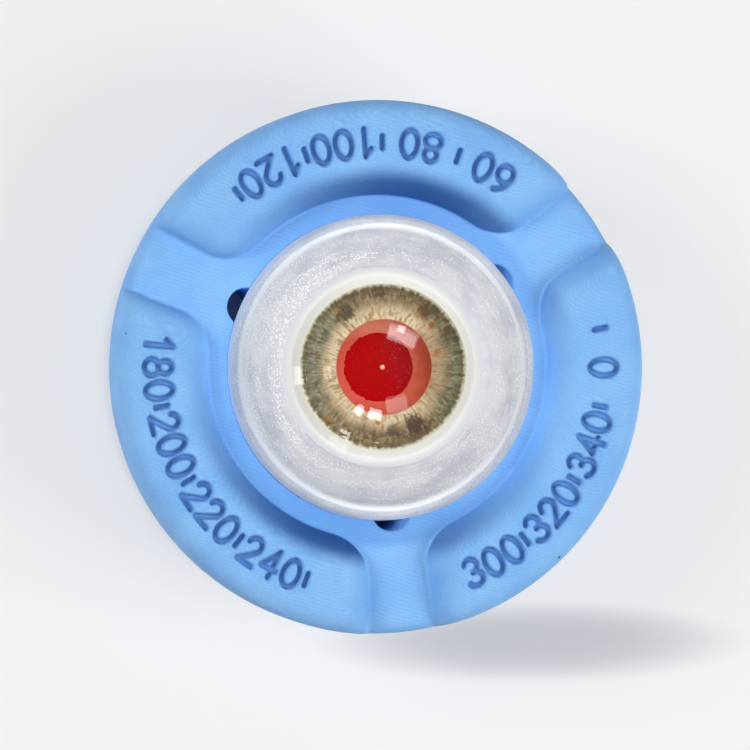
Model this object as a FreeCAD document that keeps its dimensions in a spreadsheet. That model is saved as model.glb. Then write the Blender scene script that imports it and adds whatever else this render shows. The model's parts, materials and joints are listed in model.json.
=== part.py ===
import FreeCAD, Part
import math
import os
import Sketcher
from FreeCAD import Placement, Rotation, Vector

# Practice eye in a round holder. Millimetres, +Z up.
#
# The holder lies on its flat back. The origin is the middle of that back face, +Z is the holder's own axis
# and +Y points to the top of the object as it is normally looked at. A life-size globe sits in the holder's
# ball socket. It is turned a few degrees to the left (towards -X), as its owner last left it.
#
# Holder pieces are drawn in the holder's frame. Globe pieces are drawn in the globe's frame, with the centre
# of the globe at zero and the optical axis along +Z, and are then placed and turned as a whole.

DRIVING_SIZES = [
    # holder
    ("holder_radius", 21.0),
    ("land_height", 12.5),
    ("pad_rise", 2.5),
    ("pad_inner_radius", 13.8),
    ("pad_corner_round", 1.8),
    ("pad_crest_round", 1.8),
    ("pad_crease_round", 0.6),
    ("channel_half_width_inside", 2.2),
    ("channel_half_width_outside", 2.7),
    ("channel_angle", 35.5),
    ("channel_count", 3),
    ("drain_pitch_radius", 11.45),
    ("drain_radius", 1.5),
    ("belt_foot_height", 10.2),
    ("back_radius", 19.3),
    ("back_edge_round", 1.0),
    ("socket_radius", 12.3),
    ("socket_mouth_bevel", 0.25),
    ("push_hole_radius", 4.75),
    # place of the globe in the holder
    ("globe_centre_height", 14.0),
    ("globe_turn", 8.0),
    # white of the eye, in two shells that lap over each other
    ("globe_radius", 12.0),
    ("sclera_wall", 1.2),
    ("seam_height", 4.5),
    ("lap_length", 1.2),
    ("lap_radius", 10.3),
    ("lap_gap", 0.04),
    ("button_hole_radius", 7.72),
    ("button_ledge_radius", 7.2),
    ("button_ledge_height", 7.6),
    ("button_ledge_depth", 0.6),
    # cornea, white ring and iris, bonded together as one button
    ("button_gap", 0.04),
    ("cornea_curve_radius", 8.0),
    ("cornea_edge_radius", 5.9),
    ("cornea_wall", 0.55),
    ("bond_gap", 0.03),
    ("iris_opening_radius", 6.37),
    ("iris_recess_radius", 6.9),
    ("iris_recess_height", 8.72),
    ("iris_radius", 6.65),
    ("iris_thickness", 0.35),
    ("iris_bow", 0.15),
    ("iris_offset", 0.2),
    ("pupil_radius", 3.64),
    # lens and the ring that carries it
    ("lens_front_height", 7.5),
    ("lens_front_curve", 10.5),
    ("lens_back_height", 3.9),
    ("lens_back_curve", 6.3),
    ("lens_pip_radius", 0.2),
    ("lens_pip_height", 0.08),
    ("capsule_gap", 0.02),
    ("capsule_wall", 0.25),
    ("capsule_opening_radius", 2.65),
    ("capsule_opening_offset", 0.32),
    ("capsule_cut_depth", 1.0),
    ("capsule_flange_radius", 6.1),
    ("capsule_flange_height", 6.1),
    ("capsule_flange_thickness", 0.3),
    ("ciliary_radius", 8.95),
    ("ciliary_thickness", 0.8),
    ("ciliary_collar_radius", 5.45),
    # filling, liner and plug behind the lens
    ("liner_wall", 0.75),
    ("liner_gap", 0.05),
    ("rear_fill_height", 3.6),
    ("vitreous_dish_radius", 5.0),
    ("vitreous_dish_depth", 0.9),
    ("plug_radius", 1.6),
    ("plug_gap", 0.02),
    ("plug_reach", 13.4),
    ("plug_end_round", 0.4),
]


# How the sketcher numbers an edge's points, and the sketch's own axes. Point 1 of an axis is the origin.
START, END, CENTRE = 1, 2, 3
X_AXIS, Y_AXIS = -1, -2

# How exactly an edge is found again by its place, in millimetres.
SAME_LEVEL = 1e-4
SAME_RADIUS = 0.01
SAMPLES_PER_EDGE = 9


class Dim:
    """A size that knows both its value now and the spreadsheet formula that keeps it up to date."""

    def __init__(self, value, formula=None):
        self.value = float(value)
        self.formula = formula or repr(float(value))

    def _join(self, other, value, sign):
        return Dim(value, "(%s %s %s)" % (self.formula, sign, other.formula))

    def __add__(self, other):
        other = as_dim(other)
        return self._join(other, self.value + other.value, "+")

    def __sub__(self, other):
        other = as_dim(other)
        return self._join(other, self.value - other.value, "-")

    def __mul__(self, other):
        other = as_dim(other)
        return self._join(other, self.value * other.value, "*")

    def __truediv__(self, other):
        other = as_dim(other)
        return self._join(other, self.value / other.value, "/")

    def __rsub__(self, other):
        return as_dim(other) - self

    def __neg__(self):
        return as_dim(0) - self


def as_dim(value):
    return value if isinstance(value, Dim) else Dim(value)


def root(square):
    return Dim(math.sqrt(square.value), "sqrt(%s)" % square.formula)


def other_leg(radius, leg):
    """The second coordinate of a point that lies on a circle of this radius about zero."""
    return root(radius * radius - leg * leg)


def cosine(angle):
    return Dim(math.cos(math.radians(angle.value)), "cos(%s)" % angle.formula)


def sine(angle):
    return Dim(math.sin(math.radians(angle.value)), "sin(%s)" % angle.formula)


def arc_sine(ratio):
    return Dim(math.degrees(math.asin(ratio.value)), "asin(%s)" % ratio.formula)


def degrees(number):
    """An angle in degrees from a plain number, because the sheet keeps numbers and angles apart."""
    return Dim(number.value, "(%s * 1 deg)" % number.formula)


def make_sheet(doc):
    """Writes the driving sizes to the sheet and returns them by name as Dim values."""
    sheet = doc.addObject("Spreadsheet::Sheet", "sizes")
    sizes = {}
    for row, (name, value) in enumerate(DRIVING_SIZES, start=1):
        sheet.set("A%d" % row, name)
        sheet.set("B%d" % row, str(value))
        sheet.setAlias("B%d" % row, name)
        sizes[name] = Dim(value, "sizes.%s" % name)
    return sizes


# ---------------------------------------------------------------- sketches and features


def origin_feature(body, role):
    for feature in body.Origin.OriginFeatures:
        if feature.Role == role:
            return feature
    raise ValueError("no origin feature " + role)


def new_body(doc, label):
    body = doc.addObject("PartDesign::Body", label)
    body.Label = label
    return body


def new_sketch(body, name, plane):
    sketch = body.newObject("Sketcher::SketchObject", name)
    sketch.AttachmentSupport = [(origin_feature(body, plane), "")]
    sketch.MapMode = "FlatFace"
    return sketch


def bind_length(sketch, constraint, label, dim):
    index = sketch.addConstraint(constraint)
    sketch.renameConstraint(index, label)
    sketch.setExpression("Constraints." + label, dim.formula)


def half_section(body, name, start, steps):
    """A closed half section in the XZ plane, to be turned about Z.

    start is a corner (radius, height). Each step is ("line", corner) or ("arc", centre height, corner), with
    the arc's centre on the axis. A corner may have a third value that says which of its two sizes are bound:
    "rz", the usual, "r", "z" or "". The corner at an arc's far end needs only one, because the arc gives the
    other. The last step must lead back to start.
    """
    sketch = new_sketch(body, name, "XZ_Plane")
    corners = [start] + [step[-1] for step in steps[:-1]]
    ends = [step[-1] for step in steps]
    for index, step in enumerate(steps):
        here, there = corners[index], ends[index]
        p = Vector(here[0].value, here[1].value, 0)
        q = Vector(there[0].value, there[1].value, 0)
        if step[0] == "line":
            sketch.addGeometry(Part.LineSegment(p, q), False)
        else:
            sketch.addGeometry(arc_about(Vector(0, step[1].value, 0), p, q), False)
    tips = [edge_tips(step, corners[i], ends[i]) for i, step in enumerate(steps)]
    for index in range(len(steps)):
        following = (index + 1) % len(steps)
        sketch.addConstraint(
            Sketcher.Constraint("Coincident", index, tips[index][1], following, tips[following][0])
        )
    for index, step in enumerate(steps):
        if step[0] == "arc":
            sketch.addConstraint(Sketcher.Constraint("PointOnObject", index, CENTRE, Y_AXIS))
            bind_height(sketch, index, CENTRE, "centre_%d" % index, step[1])
    for index, corner in enumerate(corners):
        bound = corner[2] if len(corner) > 2 else "rz"
        tip = tips[index][0]
        if "r" in bound and corner[0].value == 0:
            sketch.addConstraint(Sketcher.Constraint("PointOnObject", index, tip, Y_AXIS))
        elif "r" in bound:
            constraint = Sketcher.Constraint("DistanceX", X_AXIS, START, index, tip, corner[0].value)
            bind_length(sketch, constraint, "radius_%d" % index, corner[0])
        if "z" in bound:
            bind_height(sketch, index, tip, "height_%d" % index, corner[1])
    return sketch


def bind_height(sketch, index, tip, label, height):
    if height.value == 0:
        sketch.addConstraint(Sketcher.Constraint("PointOnObject", index, tip, X_AXIS))
        return
    constraint = Sketcher.Constraint("DistanceY", X_AXIS, START, index, tip, height.value)
    bind_length(sketch, constraint, label, height)


def arc_about(centre, p, q):
    """The shorter arc between two points, counter-clockwise as sketches store it."""
    angle_p = math.atan2(p.y - centre.y, p.x - centre.x)
    angle_q = math.atan2(q.y - centre.y, q.x - centre.x)
    low, high = (angle_p, angle_q) if turns_left(centre, p, q) else (angle_q, angle_p)
    circle = Part.Circle(centre, Vector(0, 0, 1), (p - centre).Length)
    return Part.ArcOfCircle(circle, low, high)


def turns_left(centre, p, q):
    return (p - centre).cross(q - centre).z > 0


def edge_tips(step, here, there):
    """Which end of the stored edge is its first and which its last point, as sketch point numbers."""
    if step[0] == "line":
        return START, END
    centre = Vector(0, step[1].value, 0)
    p = Vector(here[0].value, here[1].value, 0)
    q = Vector(there[0].value, there[1].value, 0)
    return (START, END) if turns_left(centre, p, q) else (END, START)


def revolve(body, name, sketch):
    feature = body.newObject("PartDesign::Revolution", name)
    feature.Profile = sketch
    feature.ReferenceAxis = (sketch, ["V_Axis"])
    feature.Angle = 360
    return feature


def groove(body, name, sketch):
    """Cuts away what a half section sweeps as it turns about the body's axis."""
    feature = body.newObject("PartDesign::Groove", name)
    feature.Profile = sketch
    feature.ReferenceAxis = (sketch, ["V_Axis"])
    feature.Angle = 360
    return feature


def turned_piece(doc, label, start, steps):
    """A body turned from one half section, the way most pieces of the globe are made."""
    body = new_body(doc, label)
    revolve(body, label + "_turning", half_section(body, label + "_section", start, steps))
    return body


def circle_sketch(body, name, radius, offset=None):
    """A circle in the XY plane, with its centre on the X axis."""
    sketch = new_sketch(body, name, "XY_Plane")
    centre = Vector(offset.value if offset else 0, 0, 0)
    sketch.addGeometry(Part.Circle(centre, Vector(0, 0, 1), radius.value), False)
    bind_length(sketch, Sketcher.Constraint("Radius", 0, radius.value), "circle_radius", radius)
    if offset:
        sketch.addConstraint(Sketcher.Constraint("PointOnObject", 0, CENTRE, X_AXIS))
        constraint = Sketcher.Constraint("DistanceX", X_AXIS, START, 0, CENTRE, offset.value)
        bind_length(sketch, constraint, "circle_offset", offset)
    else:
        sketch.addConstraint(Sketcher.Constraint("Coincident", 0, CENTRE, X_AXIS, START))
    return sketch


def turn_sketch(sketch, angle, lift=None):
    """Turns a sketch about the body's axis, and lifts it if asked."""
    height = lift.value if lift else 0
    sketch.AttachmentOffset = Placement(Vector(0, 0, height), Rotation(Vector(0, 0, 1), angle.value))
    sketch.setExpression("AttachmentOffset.Rotation.Angle", angle.formula)
    if lift:
        sketch.setExpression("AttachmentOffset.Base.z", lift.formula)


def lift_sketch(sketch, height):
    sketch.AttachmentOffset = Placement(Vector(0, 0, height.value), Rotation())
    sketch.setExpression("AttachmentOffset.Base.z", height.formula)


def pad_up(body, name, sketch, length):
    feature = body.newObject("PartDesign::Pad", name)
    feature.Profile = sketch
    feature.Length = length.value
    feature.setExpression("Length", length.formula)
    return feature


def cut_through(body, name, sketch):
    """A pocket from the sketch upwards, right through the body."""
    feature = body.newObject("PartDesign::Pocket", name)
    feature.Profile = sketch
    feature.Type = "ThroughAll"
    feature.Reversed = True
    return feature


def round_pattern(body, name, feature, count):
    """Repeats a feature evenly round the body's axis."""
    pattern = body.newObject("PartDesign::PolarPattern", name)
    pattern.Originals = [feature]
    pattern.Axis = (origin_feature(body, "Z_Axis"), [""])
    pattern.Angle = 360
    pattern.Occurrences = int(count.value)
    pattern.setExpression("Occurrences", count.formula)
    body.Tip = pattern
    return pattern


def fillet_edges(body, name, base, radius, wanted):
    """Rounds the edges of base that wanted() picks."""
    body.Document.recompute()
    names = ["Edge%d" % (i + 1) for i, edge in enumerate(base.Shape.Edges) if wanted(edge)]
    if not names:
        raise ValueError("no edge for " + name)
    feature = body.newObject("PartDesign::Fillet", name)
    feature.Base = (base, names)
    feature.Radius = radius.value
    feature.setExpression("Radius", radius.formula)
    body.Document.recompute()
    return feature


def bevel_edges(body, name, base, size, wanted):
    body.Document.recompute()
    names = ["Edge%d" % (i + 1) for i, edge in enumerate(base.Shape.Edges) if wanted(edge)]
    feature = body.newObject("PartDesign::Chamfer", name)
    feature.Base = (base, names)
    feature.Size = size.value
    feature.setExpression("Size", size.formula)
    body.Document.recompute()
    return feature


def at_height(edge, height):
    box = edge.BoundBox
    return abs(box.ZMin - height) < SAME_LEVEL and abs(box.ZMax - height) < SAME_LEVEL


def reach(edge):
    """Greatest and least distance of an edge's sample points from the Z axis."""
    steps = SAMPLES_PER_EDGE - 1
    lengths = [edge.Length * k / steps for k in range(SAMPLES_PER_EDGE)]
    points = [edge.valueAt(edge.getParameterByLength(length)) for length in lengths]
    radii = [math.hypot(point.x, point.y) for point in points]
    return max(radii), min(radii)


# ---------------------------------------------------------------- holder


def pad_sketch(body, d):
    """Plan of one arc pad, symmetric about the sketch's X axis.

    Its two ends run nearly parallel to the channels beside it, which widen a little towards the rim.
    """
    sketch = new_sketch(body, "pad_plan", "XY_Plane")
    half_turn = degrees(Dim(180) / d["channel_count"])
    inner, outer = d["pad_inner_radius"], d["holder_radius"]
    inner_angle = half_turn - arc_sine(d["channel_half_width_inside"] / inner)
    outer_angle = half_turn - arc_sine(d["channel_half_width_outside"] / outer)
    near = (inner * cosine(inner_angle), inner * sine(inner_angle))
    far = (outer * cosine(outer_angle), outer * sine(outer_angle))
    a, b = math.radians(inner_angle.value), math.radians(outer_angle.value)
    flat = Vector(0, 0, 1)
    near_up, near_down = Vector(near[0].value, near[1].value, 0), Vector(near[0].value, -near[1].value, 0)
    far_up, far_down = Vector(far[0].value, far[1].value, 0), Vector(far[0].value, -far[1].value, 0)
    sketch.addGeometry(
        [
            Part.ArcOfCircle(Part.Circle(Vector(), flat, inner.value), -a, a),
            Part.LineSegment(near_up, far_up),
            Part.ArcOfCircle(Part.Circle(Vector(), flat, outer.value), -b, b),
            Part.LineSegment(near_down, far_down),
        ],
        False,
    )
    inner_arc, upper_end, outer_arc, lower_end = range(4)
    for first, first_tip, second, second_tip in [
        (inner_arc, CENTRE, X_AXIS, START),
        (outer_arc, CENTRE, X_AXIS, START),
        (inner_arc, END, upper_end, START),
        (upper_end, END, outer_arc, END),
        (inner_arc, START, lower_end, START),
        (lower_end, END, outer_arc, START),
    ]:
        sketch.addConstraint(Sketcher.Constraint("Coincident", first, first_tip, second, second_tip))
    for tip, corner, label in [(START, near, "near"), (END, far, "far")]:
        along = Sketcher.Constraint("DistanceX", X_AXIS, START, upper_end, tip, corner[0].value)
        bind_length(sketch, along, label + "_x", corner[0])
        across = Sketcher.Constraint("DistanceY", X_AXIS, START, upper_end, tip, corner[1].value)
        bind_length(sketch, across, label + "_y", corner[1])
        width = corner[1] * 2
        span = Sketcher.Constraint("DistanceY", lower_end, tip, upper_end, tip, width.value)
        bind_length(sketch, span, label + "_width", width)
    turn_sketch(sketch, degrees(d["channel_angle"]) + half_turn, d["land_height"])
    return sketch


def make_holder(doc, d):
    """Round holder: ball socket, flat land, three arc pads, channels and drains, push-out hole.

    Below a straight belt its side draws in towards the back, so that it can be gripped and stood on edge.
    """
    body = new_body(doc, "holder_disc")
    zero = Dim(0)
    rim, land, hole = d["holder_radius"], d["land_height"], d["push_hole_radius"]
    centre, socket = d["globe_centre_height"], d["socket_radius"]
    mouth = other_leg(socket, centre - land)
    hole_top = centre - other_leg(socket, hole)
    steps = [
        ("line", (rim, zero)),
        ("line", (rim, land)),
        ("line", (mouth, land)),
        ("arc", centre, (hole, hole_top, "z")),
        ("line", (hole, zero)),
    ]
    revolve(body, "disc_turning", half_section(body, "disc_section", (hole, zero), steps))

    pad = pad_up(body, "arc_pad", pad_sketch(body, d), d["pad_rise"])
    pads = round_pattern(body, "arc_pads", pad, d["channel_count"])

    land_level = land.value
    pad_level = land.value + d["pad_rise"].value
    inner, outer = d["pad_inner_radius"].value, rim.value

    def upright(edge):
        box = edge.BoundBox
        return abs(box.ZMin - land_level) < SAME_LEVEL and abs(box.ZMax - pad_level) < SAME_LEVEL

    def inner_corner(edge):
        return upright(edge) and abs(reach(edge)[0] - inner) < SAME_RADIUS

    corners = fillet_edges(body, "pad_inner_corners", pads, d["pad_corner_round"], inner_corner)

    def crest(edge):
        return at_height(edge, pad_level)

    crests = fillet_edges(body, "pad_crests", corners, d["pad_crest_round"], crest)

    def crease(edge):
        least = reach(edge)[1]
        return at_height(edge, land_level) and inner - SAME_RADIUS < least < outer - SAME_RADIUS

    fillet_edges(body, "pad_creases", crests, d["pad_crease_round"], crease)

    back_radius, belt_foot = d["back_radius"], d["belt_foot_height"]
    relief_steps = [("line", (rim, zero)), ("line", (rim, belt_foot)), ("line", (back_radius, zero))]
    relief_section = half_section(body, "relief_section", (back_radius, zero), relief_steps)
    relief = groove(body, "side_relief", relief_section)

    def back_rim(edge):
        return at_height(edge, 0) and reach(edge)[1] > back_radius.value - SAME_RADIUS

    back = fillet_edges(body, "back_edge", relief, d["back_edge_round"], back_rim)

    def mouth_edge(edge):
        return at_height(edge, land_level) and abs(reach(edge)[0] - mouth.value) < SAME_RADIUS

    bevel_edges(body, "socket_mouth", back, d["socket_mouth_bevel"], mouth_edge)

    plan = circle_sketch(body, "drain_plan", d["drain_radius"], d["drain_pitch_radius"])
    turn_sketch(plan, degrees(d["channel_angle"]))
    drain = cut_through(body, "drain_bore", plan)
    round_pattern(body, "drain_bores", drain, d["channel_count"])
    return body


# ---------------------------------------------------------------- globe


def make_rear_cup(doc, d):
    """Rear part of the white of the eye, with an upstanding lip inside the seam and a hole for the plug."""
    outer = d["globe_radius"]
    inner = outer - d["sclera_wall"]
    seam = d["seam_height"]
    lip_top = seam + d["lap_length"] - d["lap_gap"]
    lip = d["lap_radius"] - d["lap_gap"]
    bore = d["plug_radius"] + d["plug_gap"]
    steps = [
        ("arc", Dim(0), (other_leg(outer, seam), seam, "z")),
        ("line", (lip, seam)),
        ("line", (lip, lip_top)),
        ("line", (other_leg(inner, lip_top), lip_top)),
        ("arc", Dim(0), (bore, -other_leg(inner, bore), "r")),
        ("line", (bore, -other_leg(outer, bore))),
    ]
    return turned_piece(doc, "rear_sclera_cup", (bore, -other_leg(outer, bore)), steps)


def make_front_shell(doc, d):
    """Front part of the white of the eye: skirt over the lip below, and a ledge round the button's hole."""
    outer = d["globe_radius"]
    inner = outer - d["sclera_wall"]
    seam = d["seam_height"]
    shoulder = seam + d["lap_length"]
    hole, ledge_in = d["button_hole_radius"], d["button_ledge_radius"]
    ledge = d["button_ledge_height"]
    ledge_foot = ledge - d["button_ledge_depth"]
    steps = [
        ("line", (other_leg(outer, seam), seam)),
        ("arc", Dim(0), (hole, other_leg(outer, hole), "r")),
        ("line", (hole, ledge)),
        ("line", (ledge_in, ledge)),
        ("line", (ledge_in, ledge_foot)),
        ("line", (other_leg(inner, ledge_foot), ledge_foot)),
        ("arc", Dim(0), (other_leg(inner, shoulder), shoulder, "z")),
        ("line", (d["lap_radius"], shoulder)),
        ("line", (d["lap_radius"], seam)),
    ]
    return turned_piece(doc, "front_sclera_shell", (d["lap_radius"], seam), steps)


def make_cornea(doc, d):
    """Clear cap: a steeper dome in the middle, and a flange that carries on the curve of the globe."""
    zero = Dim(0)
    outer, wall = d["globe_radius"], d["cornea_wall"]
    curve, edge = d["cornea_curve_radius"], d["cornea_edge_radius"]
    flange = d["button_hole_radius"] - d["button_gap"]
    centre = other_leg(outer, edge) - other_leg(curve, edge)
    inner, inner_curve = outer - wall, curve - wall
    # Both inner arcs have their centres on the axis, so they meet where their circles cross.
    cross = (inner * inner - inner_curve * inner_curve + centre * centre) / (centre * 2)
    steps = [
        ("arc", zero, (edge, other_leg(outer, edge), "r")),
        ("arc", centre, (zero, centre + curve, "r")),
        ("line", (zero, centre + inner_curve)),
        ("arc", centre, (other_leg(inner, cross), cross, "z")),
        ("arc", zero, (flange, other_leg(inner, flange), "r")),
        ("line", (flange, other_leg(outer, flange))),
    ]
    return turned_piece(doc, "cornea_cap", (flange, other_leg(outer, flange)), steps)


def make_limbus_ring(doc, d):
    """White ring under the cornea's flange, recessed below for the iris. It stands on the shell's ledge."""
    top = d["globe_radius"] - d["cornea_wall"] - d["bond_gap"]
    outside = d["button_hole_radius"] - d["button_gap"]
    inside, recess = d["iris_opening_radius"], d["iris_recess_radius"]
    foot = d["button_ledge_height"]
    steps = [
        ("line", (outside, foot)),
        ("line", (outside, other_leg(top, outside))),
        ("arc", Dim(0), (inside, other_leg(top, inside), "r")),
        ("line", (inside, d["iris_recess_height"])),
        ("line", (recess, d["iris_recess_height"])),
        ("line", (recess, foot)),
    ]
    return turned_piece(doc, "limbus_ring", (recess, foot), steps)


def make_iris(doc, d):
    """Thin printed disc with a round pupil, bowed a little towards the cornea and a little off centre."""
    top = d["iris_recess_height"] - d["bond_gap"]
    thick, bow = d["iris_thickness"], d["iris_bow"]
    rim, pupil = d["iris_radius"], d["pupil_radius"]
    flat = d["iris_opening_radius"] - d["iris_offset"] - d["bond_gap"]
    steps = [
        ("line", (rim, top)),
        ("line", (flat, top)),
        ("line", (pupil, top + bow)),
        ("line", (pupil, top + bow - thick)),
        ("line", (flat, top - thick)),
        ("line", (rim, top - thick)),
    ]
    return turned_piece(doc, "iris_disc", (rim, top - thick), steps)


def lens_section(body, name, d, grow):
    """Half section of the lens shape, grown outwards by grow: two arcs that meet in a sharp edge."""
    zero = Dim(0)
    front, back = d["lens_front_height"] + grow, d["lens_back_height"] - grow
    front_curve, back_curve = d["lens_front_curve"] + grow, d["lens_back_curve"] + grow
    low_centre, high_centre = front - front_curve, back + back_curve
    gap = high_centre - low_centre
    along = (front_curve * front_curve - back_curve * back_curve + gap * gap) / (gap * 2)
    edge = (other_leg(front_curve, along), low_centre + along, "")
    steps = [("arc", high_centre, edge), ("arc", low_centre, (zero, front)), ("line", (zero, back))]
    return half_section(body, name, (zero, back), steps)


def make_lens_core(doc, d):
    """Red lens, turned on a lathe, with the pip that the turning left in the middle of its front."""
    body = new_body(doc, "lens_core")
    revolve(body, "lens_turning", lens_section(body, "lens_section", d, Dim(0)))
    plan = circle_sketch(body, "pip_plan", d["lens_pip_radius"])
    lift_sketch(plan, d["lens_front_height"] - d["lens_pip_height"])
    pad_up(body, "centre_pip", plan, d["lens_pip_height"] * 2)
    return body


def make_capsule(doc, d):
    """Thin bag round the lens, with a flange at its waist and a round opening torn in its front."""
    body = new_body(doc, "lens_capsule")
    gap = d["capsule_gap"]
    revolve(body, "bag_turning", lens_section(body, "bag_section", d, gap + d["capsule_wall"]))
    flange_plan = circle_sketch(body, "flange_plan", d["capsule_flange_radius"])
    lift_sketch(flange_plan, d["capsule_flange_height"])
    pad_up(body, "waist_flange", flange_plan, d["capsule_flange_thickness"])
    groove(body, "lens_hollow", lens_section(body, "hollow_section", d, gap))
    opening = circle_sketch(body, "opening_plan", d["capsule_opening_radius"], -d["capsule_opening_offset"])
    lift_sketch(opening, d["lens_front_height"] - d["capsule_cut_depth"])
    cut_through(body, "front_opening", opening)
    return body


def make_ciliary_ring(doc, d):
    """Carrier of the lens: a flat ring that lies on the filling, with a collar up to the bag's flange."""
    foot = d["rear_fill_height"]
    top = foot + d["ciliary_thickness"]
    inside, collar = d["ciliary_collar_radius"], d["capsule_flange_radius"]
    height = d["capsule_flange_height"]
    steps = [
        ("line", (d["ciliary_radius"], foot)),
        ("line", (d["ciliary_radius"], top)),
        ("line", (collar, top)),
        ("line", (collar, height)),
        ("line", (inside, height)),
        ("line", (inside, foot)),
    ]
    return turned_piece(doc, "ciliary_ring", (inside, foot), steps)


def liner_radii(d):
    outer = d["globe_radius"] - d["sclera_wall"] - d["liner_gap"]
    return outer, outer - d["liner_wall"]


def make_retina_cup(doc, d):
    """Red liner inside the rear cup, which gives the pupil its red glow."""
    zero = Dim(0)
    outer, inner = liner_radii(d)
    rim = d["rear_fill_height"]
    steps = [
        ("arc", zero, (other_leg(outer, rim), rim, "z")),
        ("line", (other_leg(inner, rim), rim)),
        ("arc", zero, (zero, -inner, "r")),
        ("line", (zero, -outer)),
    ]
    return turned_piece(doc, "retina_cup", (zero, -outer), steps)


def make_vitreous(doc, d):
    """Clear filling, dished on top to leave room for the back of the lens."""
    zero = Dim(0)
    radius = liner_radii(d)[1] - d["liner_gap"]
    top, dish, depth = d["rear_fill_height"], d["vitreous_dish_radius"], d["vitreous_dish_depth"]
    curve = (dish * dish + depth * depth) / (depth * 2)
    steps = [
        ("arc", zero, (other_leg(radius, top), top, "z")),
        ("line", (dish, top)),
        ("arc", top - depth + curve, (zero, top - depth, "r")),
        ("line", (zero, -radius)),
    ]
    return turned_piece(doc, "vitreous_body", (zero, -radius), steps)


def make_plug(doc, d):
    """Filling plug in the rear pole, which stands out as a short nerve stub with a rounded end."""
    inner = d["globe_radius"] - d["sclera_wall"]
    radius, reach_back, soft = d["plug_radius"], d["plug_reach"], d["plug_end_round"]
    body = new_body(doc, "rear_plug")
    seat = -inner
    zero = Dim(0)
    steps = [
        ("line", (radius, -reach_back)),
        ("line", (radius, seat)),
        ("line", (zero, seat)),
        ("line", (zero, -reach_back)),
    ]
    stub = revolve(body, "plug_turning", half_section(body, "plug_section", (zero, -reach_back), steps))

    def far_end(edge):
        return at_height(edge, -reach_back.value)

    fillet_edges(body, "plug_end", stub, soft, far_end)
    return body


def place_in_globe(body, d, offset=None):
    """Puts a piece drawn about the globe's centre into the holder, turned as the globe is."""
    height, turn = d["globe_centre_height"], degrees(d["globe_turn"])
    shift = offset or Dim(0)
    across = shift * cosine(turn)
    up = height + shift * sine(turn)
    body.Placement = Placement(Vector(across.value, 0, up.value), Rotation(Vector(0, 1, 0), -turn.value))
    body.setExpression("Placement.Base.x", across.formula)
    body.setExpression("Placement.Base.z", up.formula)


def check_and_export(doc, bodies):
    for item in doc.Objects:
        if "Invalid" in item.State or "Error" in item.State:
            raise RuntimeError("%s failed: %s" % (item.Name, item.State))
    os.makedirs("parts", exist_ok=True)
    for body in bodies:
        shape = body.Shape
        if shape.isNull() or not shape.isValid() or len(shape.Solids) != 1:
            raise RuntimeError("bad solid in " + body.Label)
        shape.exportStep("parts/%s.step" % body.Label)
        print("%-20s %9.2f mm3" % (body.Label, shape.Volume))


def main():
    doc = FreeCAD.newDocument("practice_eye")
    d = make_sheet(doc)
    doc.recompute()
    holder = make_holder(doc, d)
    iris = make_iris(doc, d)
    globe = [
        make_rear_cup(doc, d),
        make_front_shell(doc, d),
        make_cornea(doc, d),
        make_limbus_ring(doc, d),
        make_lens_core(doc, d),
        make_capsule(doc, d),
        make_ciliary_ring(doc, d),
        make_retina_cup(doc, d),
        make_vitreous(doc, d),
        make_plug(doc, d),
    ]
    for body in globe:
        place_in_globe(body, d)
    place_in_globe(iris, d, d["iris_offset"])
    doc.recompute()
    check_and_export(doc, [holder, iris] + globe)


main()
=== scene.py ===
# %% [markdown]
# # A practice eye in its blue holder
#
# The object is a life-size artificial eye for surgical training. A frosted globe sits in a round
# blue holder that was printed in resin. A clear cornea covers a printed iris, and through the pupil
# a red lens shows behind a salmon film that has been torn open.
#
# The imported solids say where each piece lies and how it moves. This script dresses them. Each piece
# becomes a fine surface that is worked out with numpy, and each surface gets a finish of nodes.

# %% Load the solids that everything is fitted to
import json
import math

import bpy
import numpy as np
from mathutils import Matrix, Vector


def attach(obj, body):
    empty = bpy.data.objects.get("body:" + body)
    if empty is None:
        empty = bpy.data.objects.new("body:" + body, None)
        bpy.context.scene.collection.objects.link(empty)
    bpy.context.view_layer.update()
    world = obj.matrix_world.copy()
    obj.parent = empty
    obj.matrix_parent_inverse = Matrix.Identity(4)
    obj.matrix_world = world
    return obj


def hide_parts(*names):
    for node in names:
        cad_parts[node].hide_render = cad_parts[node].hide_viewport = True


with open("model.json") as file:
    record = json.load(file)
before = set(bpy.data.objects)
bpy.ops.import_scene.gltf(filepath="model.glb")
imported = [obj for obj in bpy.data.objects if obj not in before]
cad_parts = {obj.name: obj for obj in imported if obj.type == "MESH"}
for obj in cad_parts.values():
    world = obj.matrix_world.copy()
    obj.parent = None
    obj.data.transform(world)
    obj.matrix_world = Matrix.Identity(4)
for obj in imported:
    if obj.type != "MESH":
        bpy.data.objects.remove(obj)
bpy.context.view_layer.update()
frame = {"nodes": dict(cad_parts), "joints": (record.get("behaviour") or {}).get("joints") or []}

print("pieces in the frame:", ", ".join(sorted(frame["nodes"])))

# %% [markdown]
# ## Where the globe sits
#
# The holder lies flat with its axis upright, and the globe leans eight degrees in its socket. The
# solids already know this: the gaze joint gives the globe's centre, and the joint that lifts the
# lens out runs along the globe's own axis. So both are read from the frame instead of being typed
# in again. Sizes below are millimetres, and one function turns them into Blender's metres.

# %% The globe's centre, axis and lean
MM = 0.001
joints = {joint["name"]: joint for joint in frame["joints"]}
globe_centre = np.array(joints["gaze_turn"]["pos_m"]) / MM
globe_axis = np.array(joints["lens_lift"]["axis"])
globe_lean = math.atan2(-globe_axis[0], globe_axis[2])
globe_frame = np.array([
    [math.cos(globe_lean), 0.0, math.sin(globe_lean)],
    [0.0, 1.0, 0.0],
    globe_axis,
])


def in_globe(points):
    """Carries points from the globe's own frame to the part's: turned by the lean, then moved."""
    return points @ globe_frame + globe_centre


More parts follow.
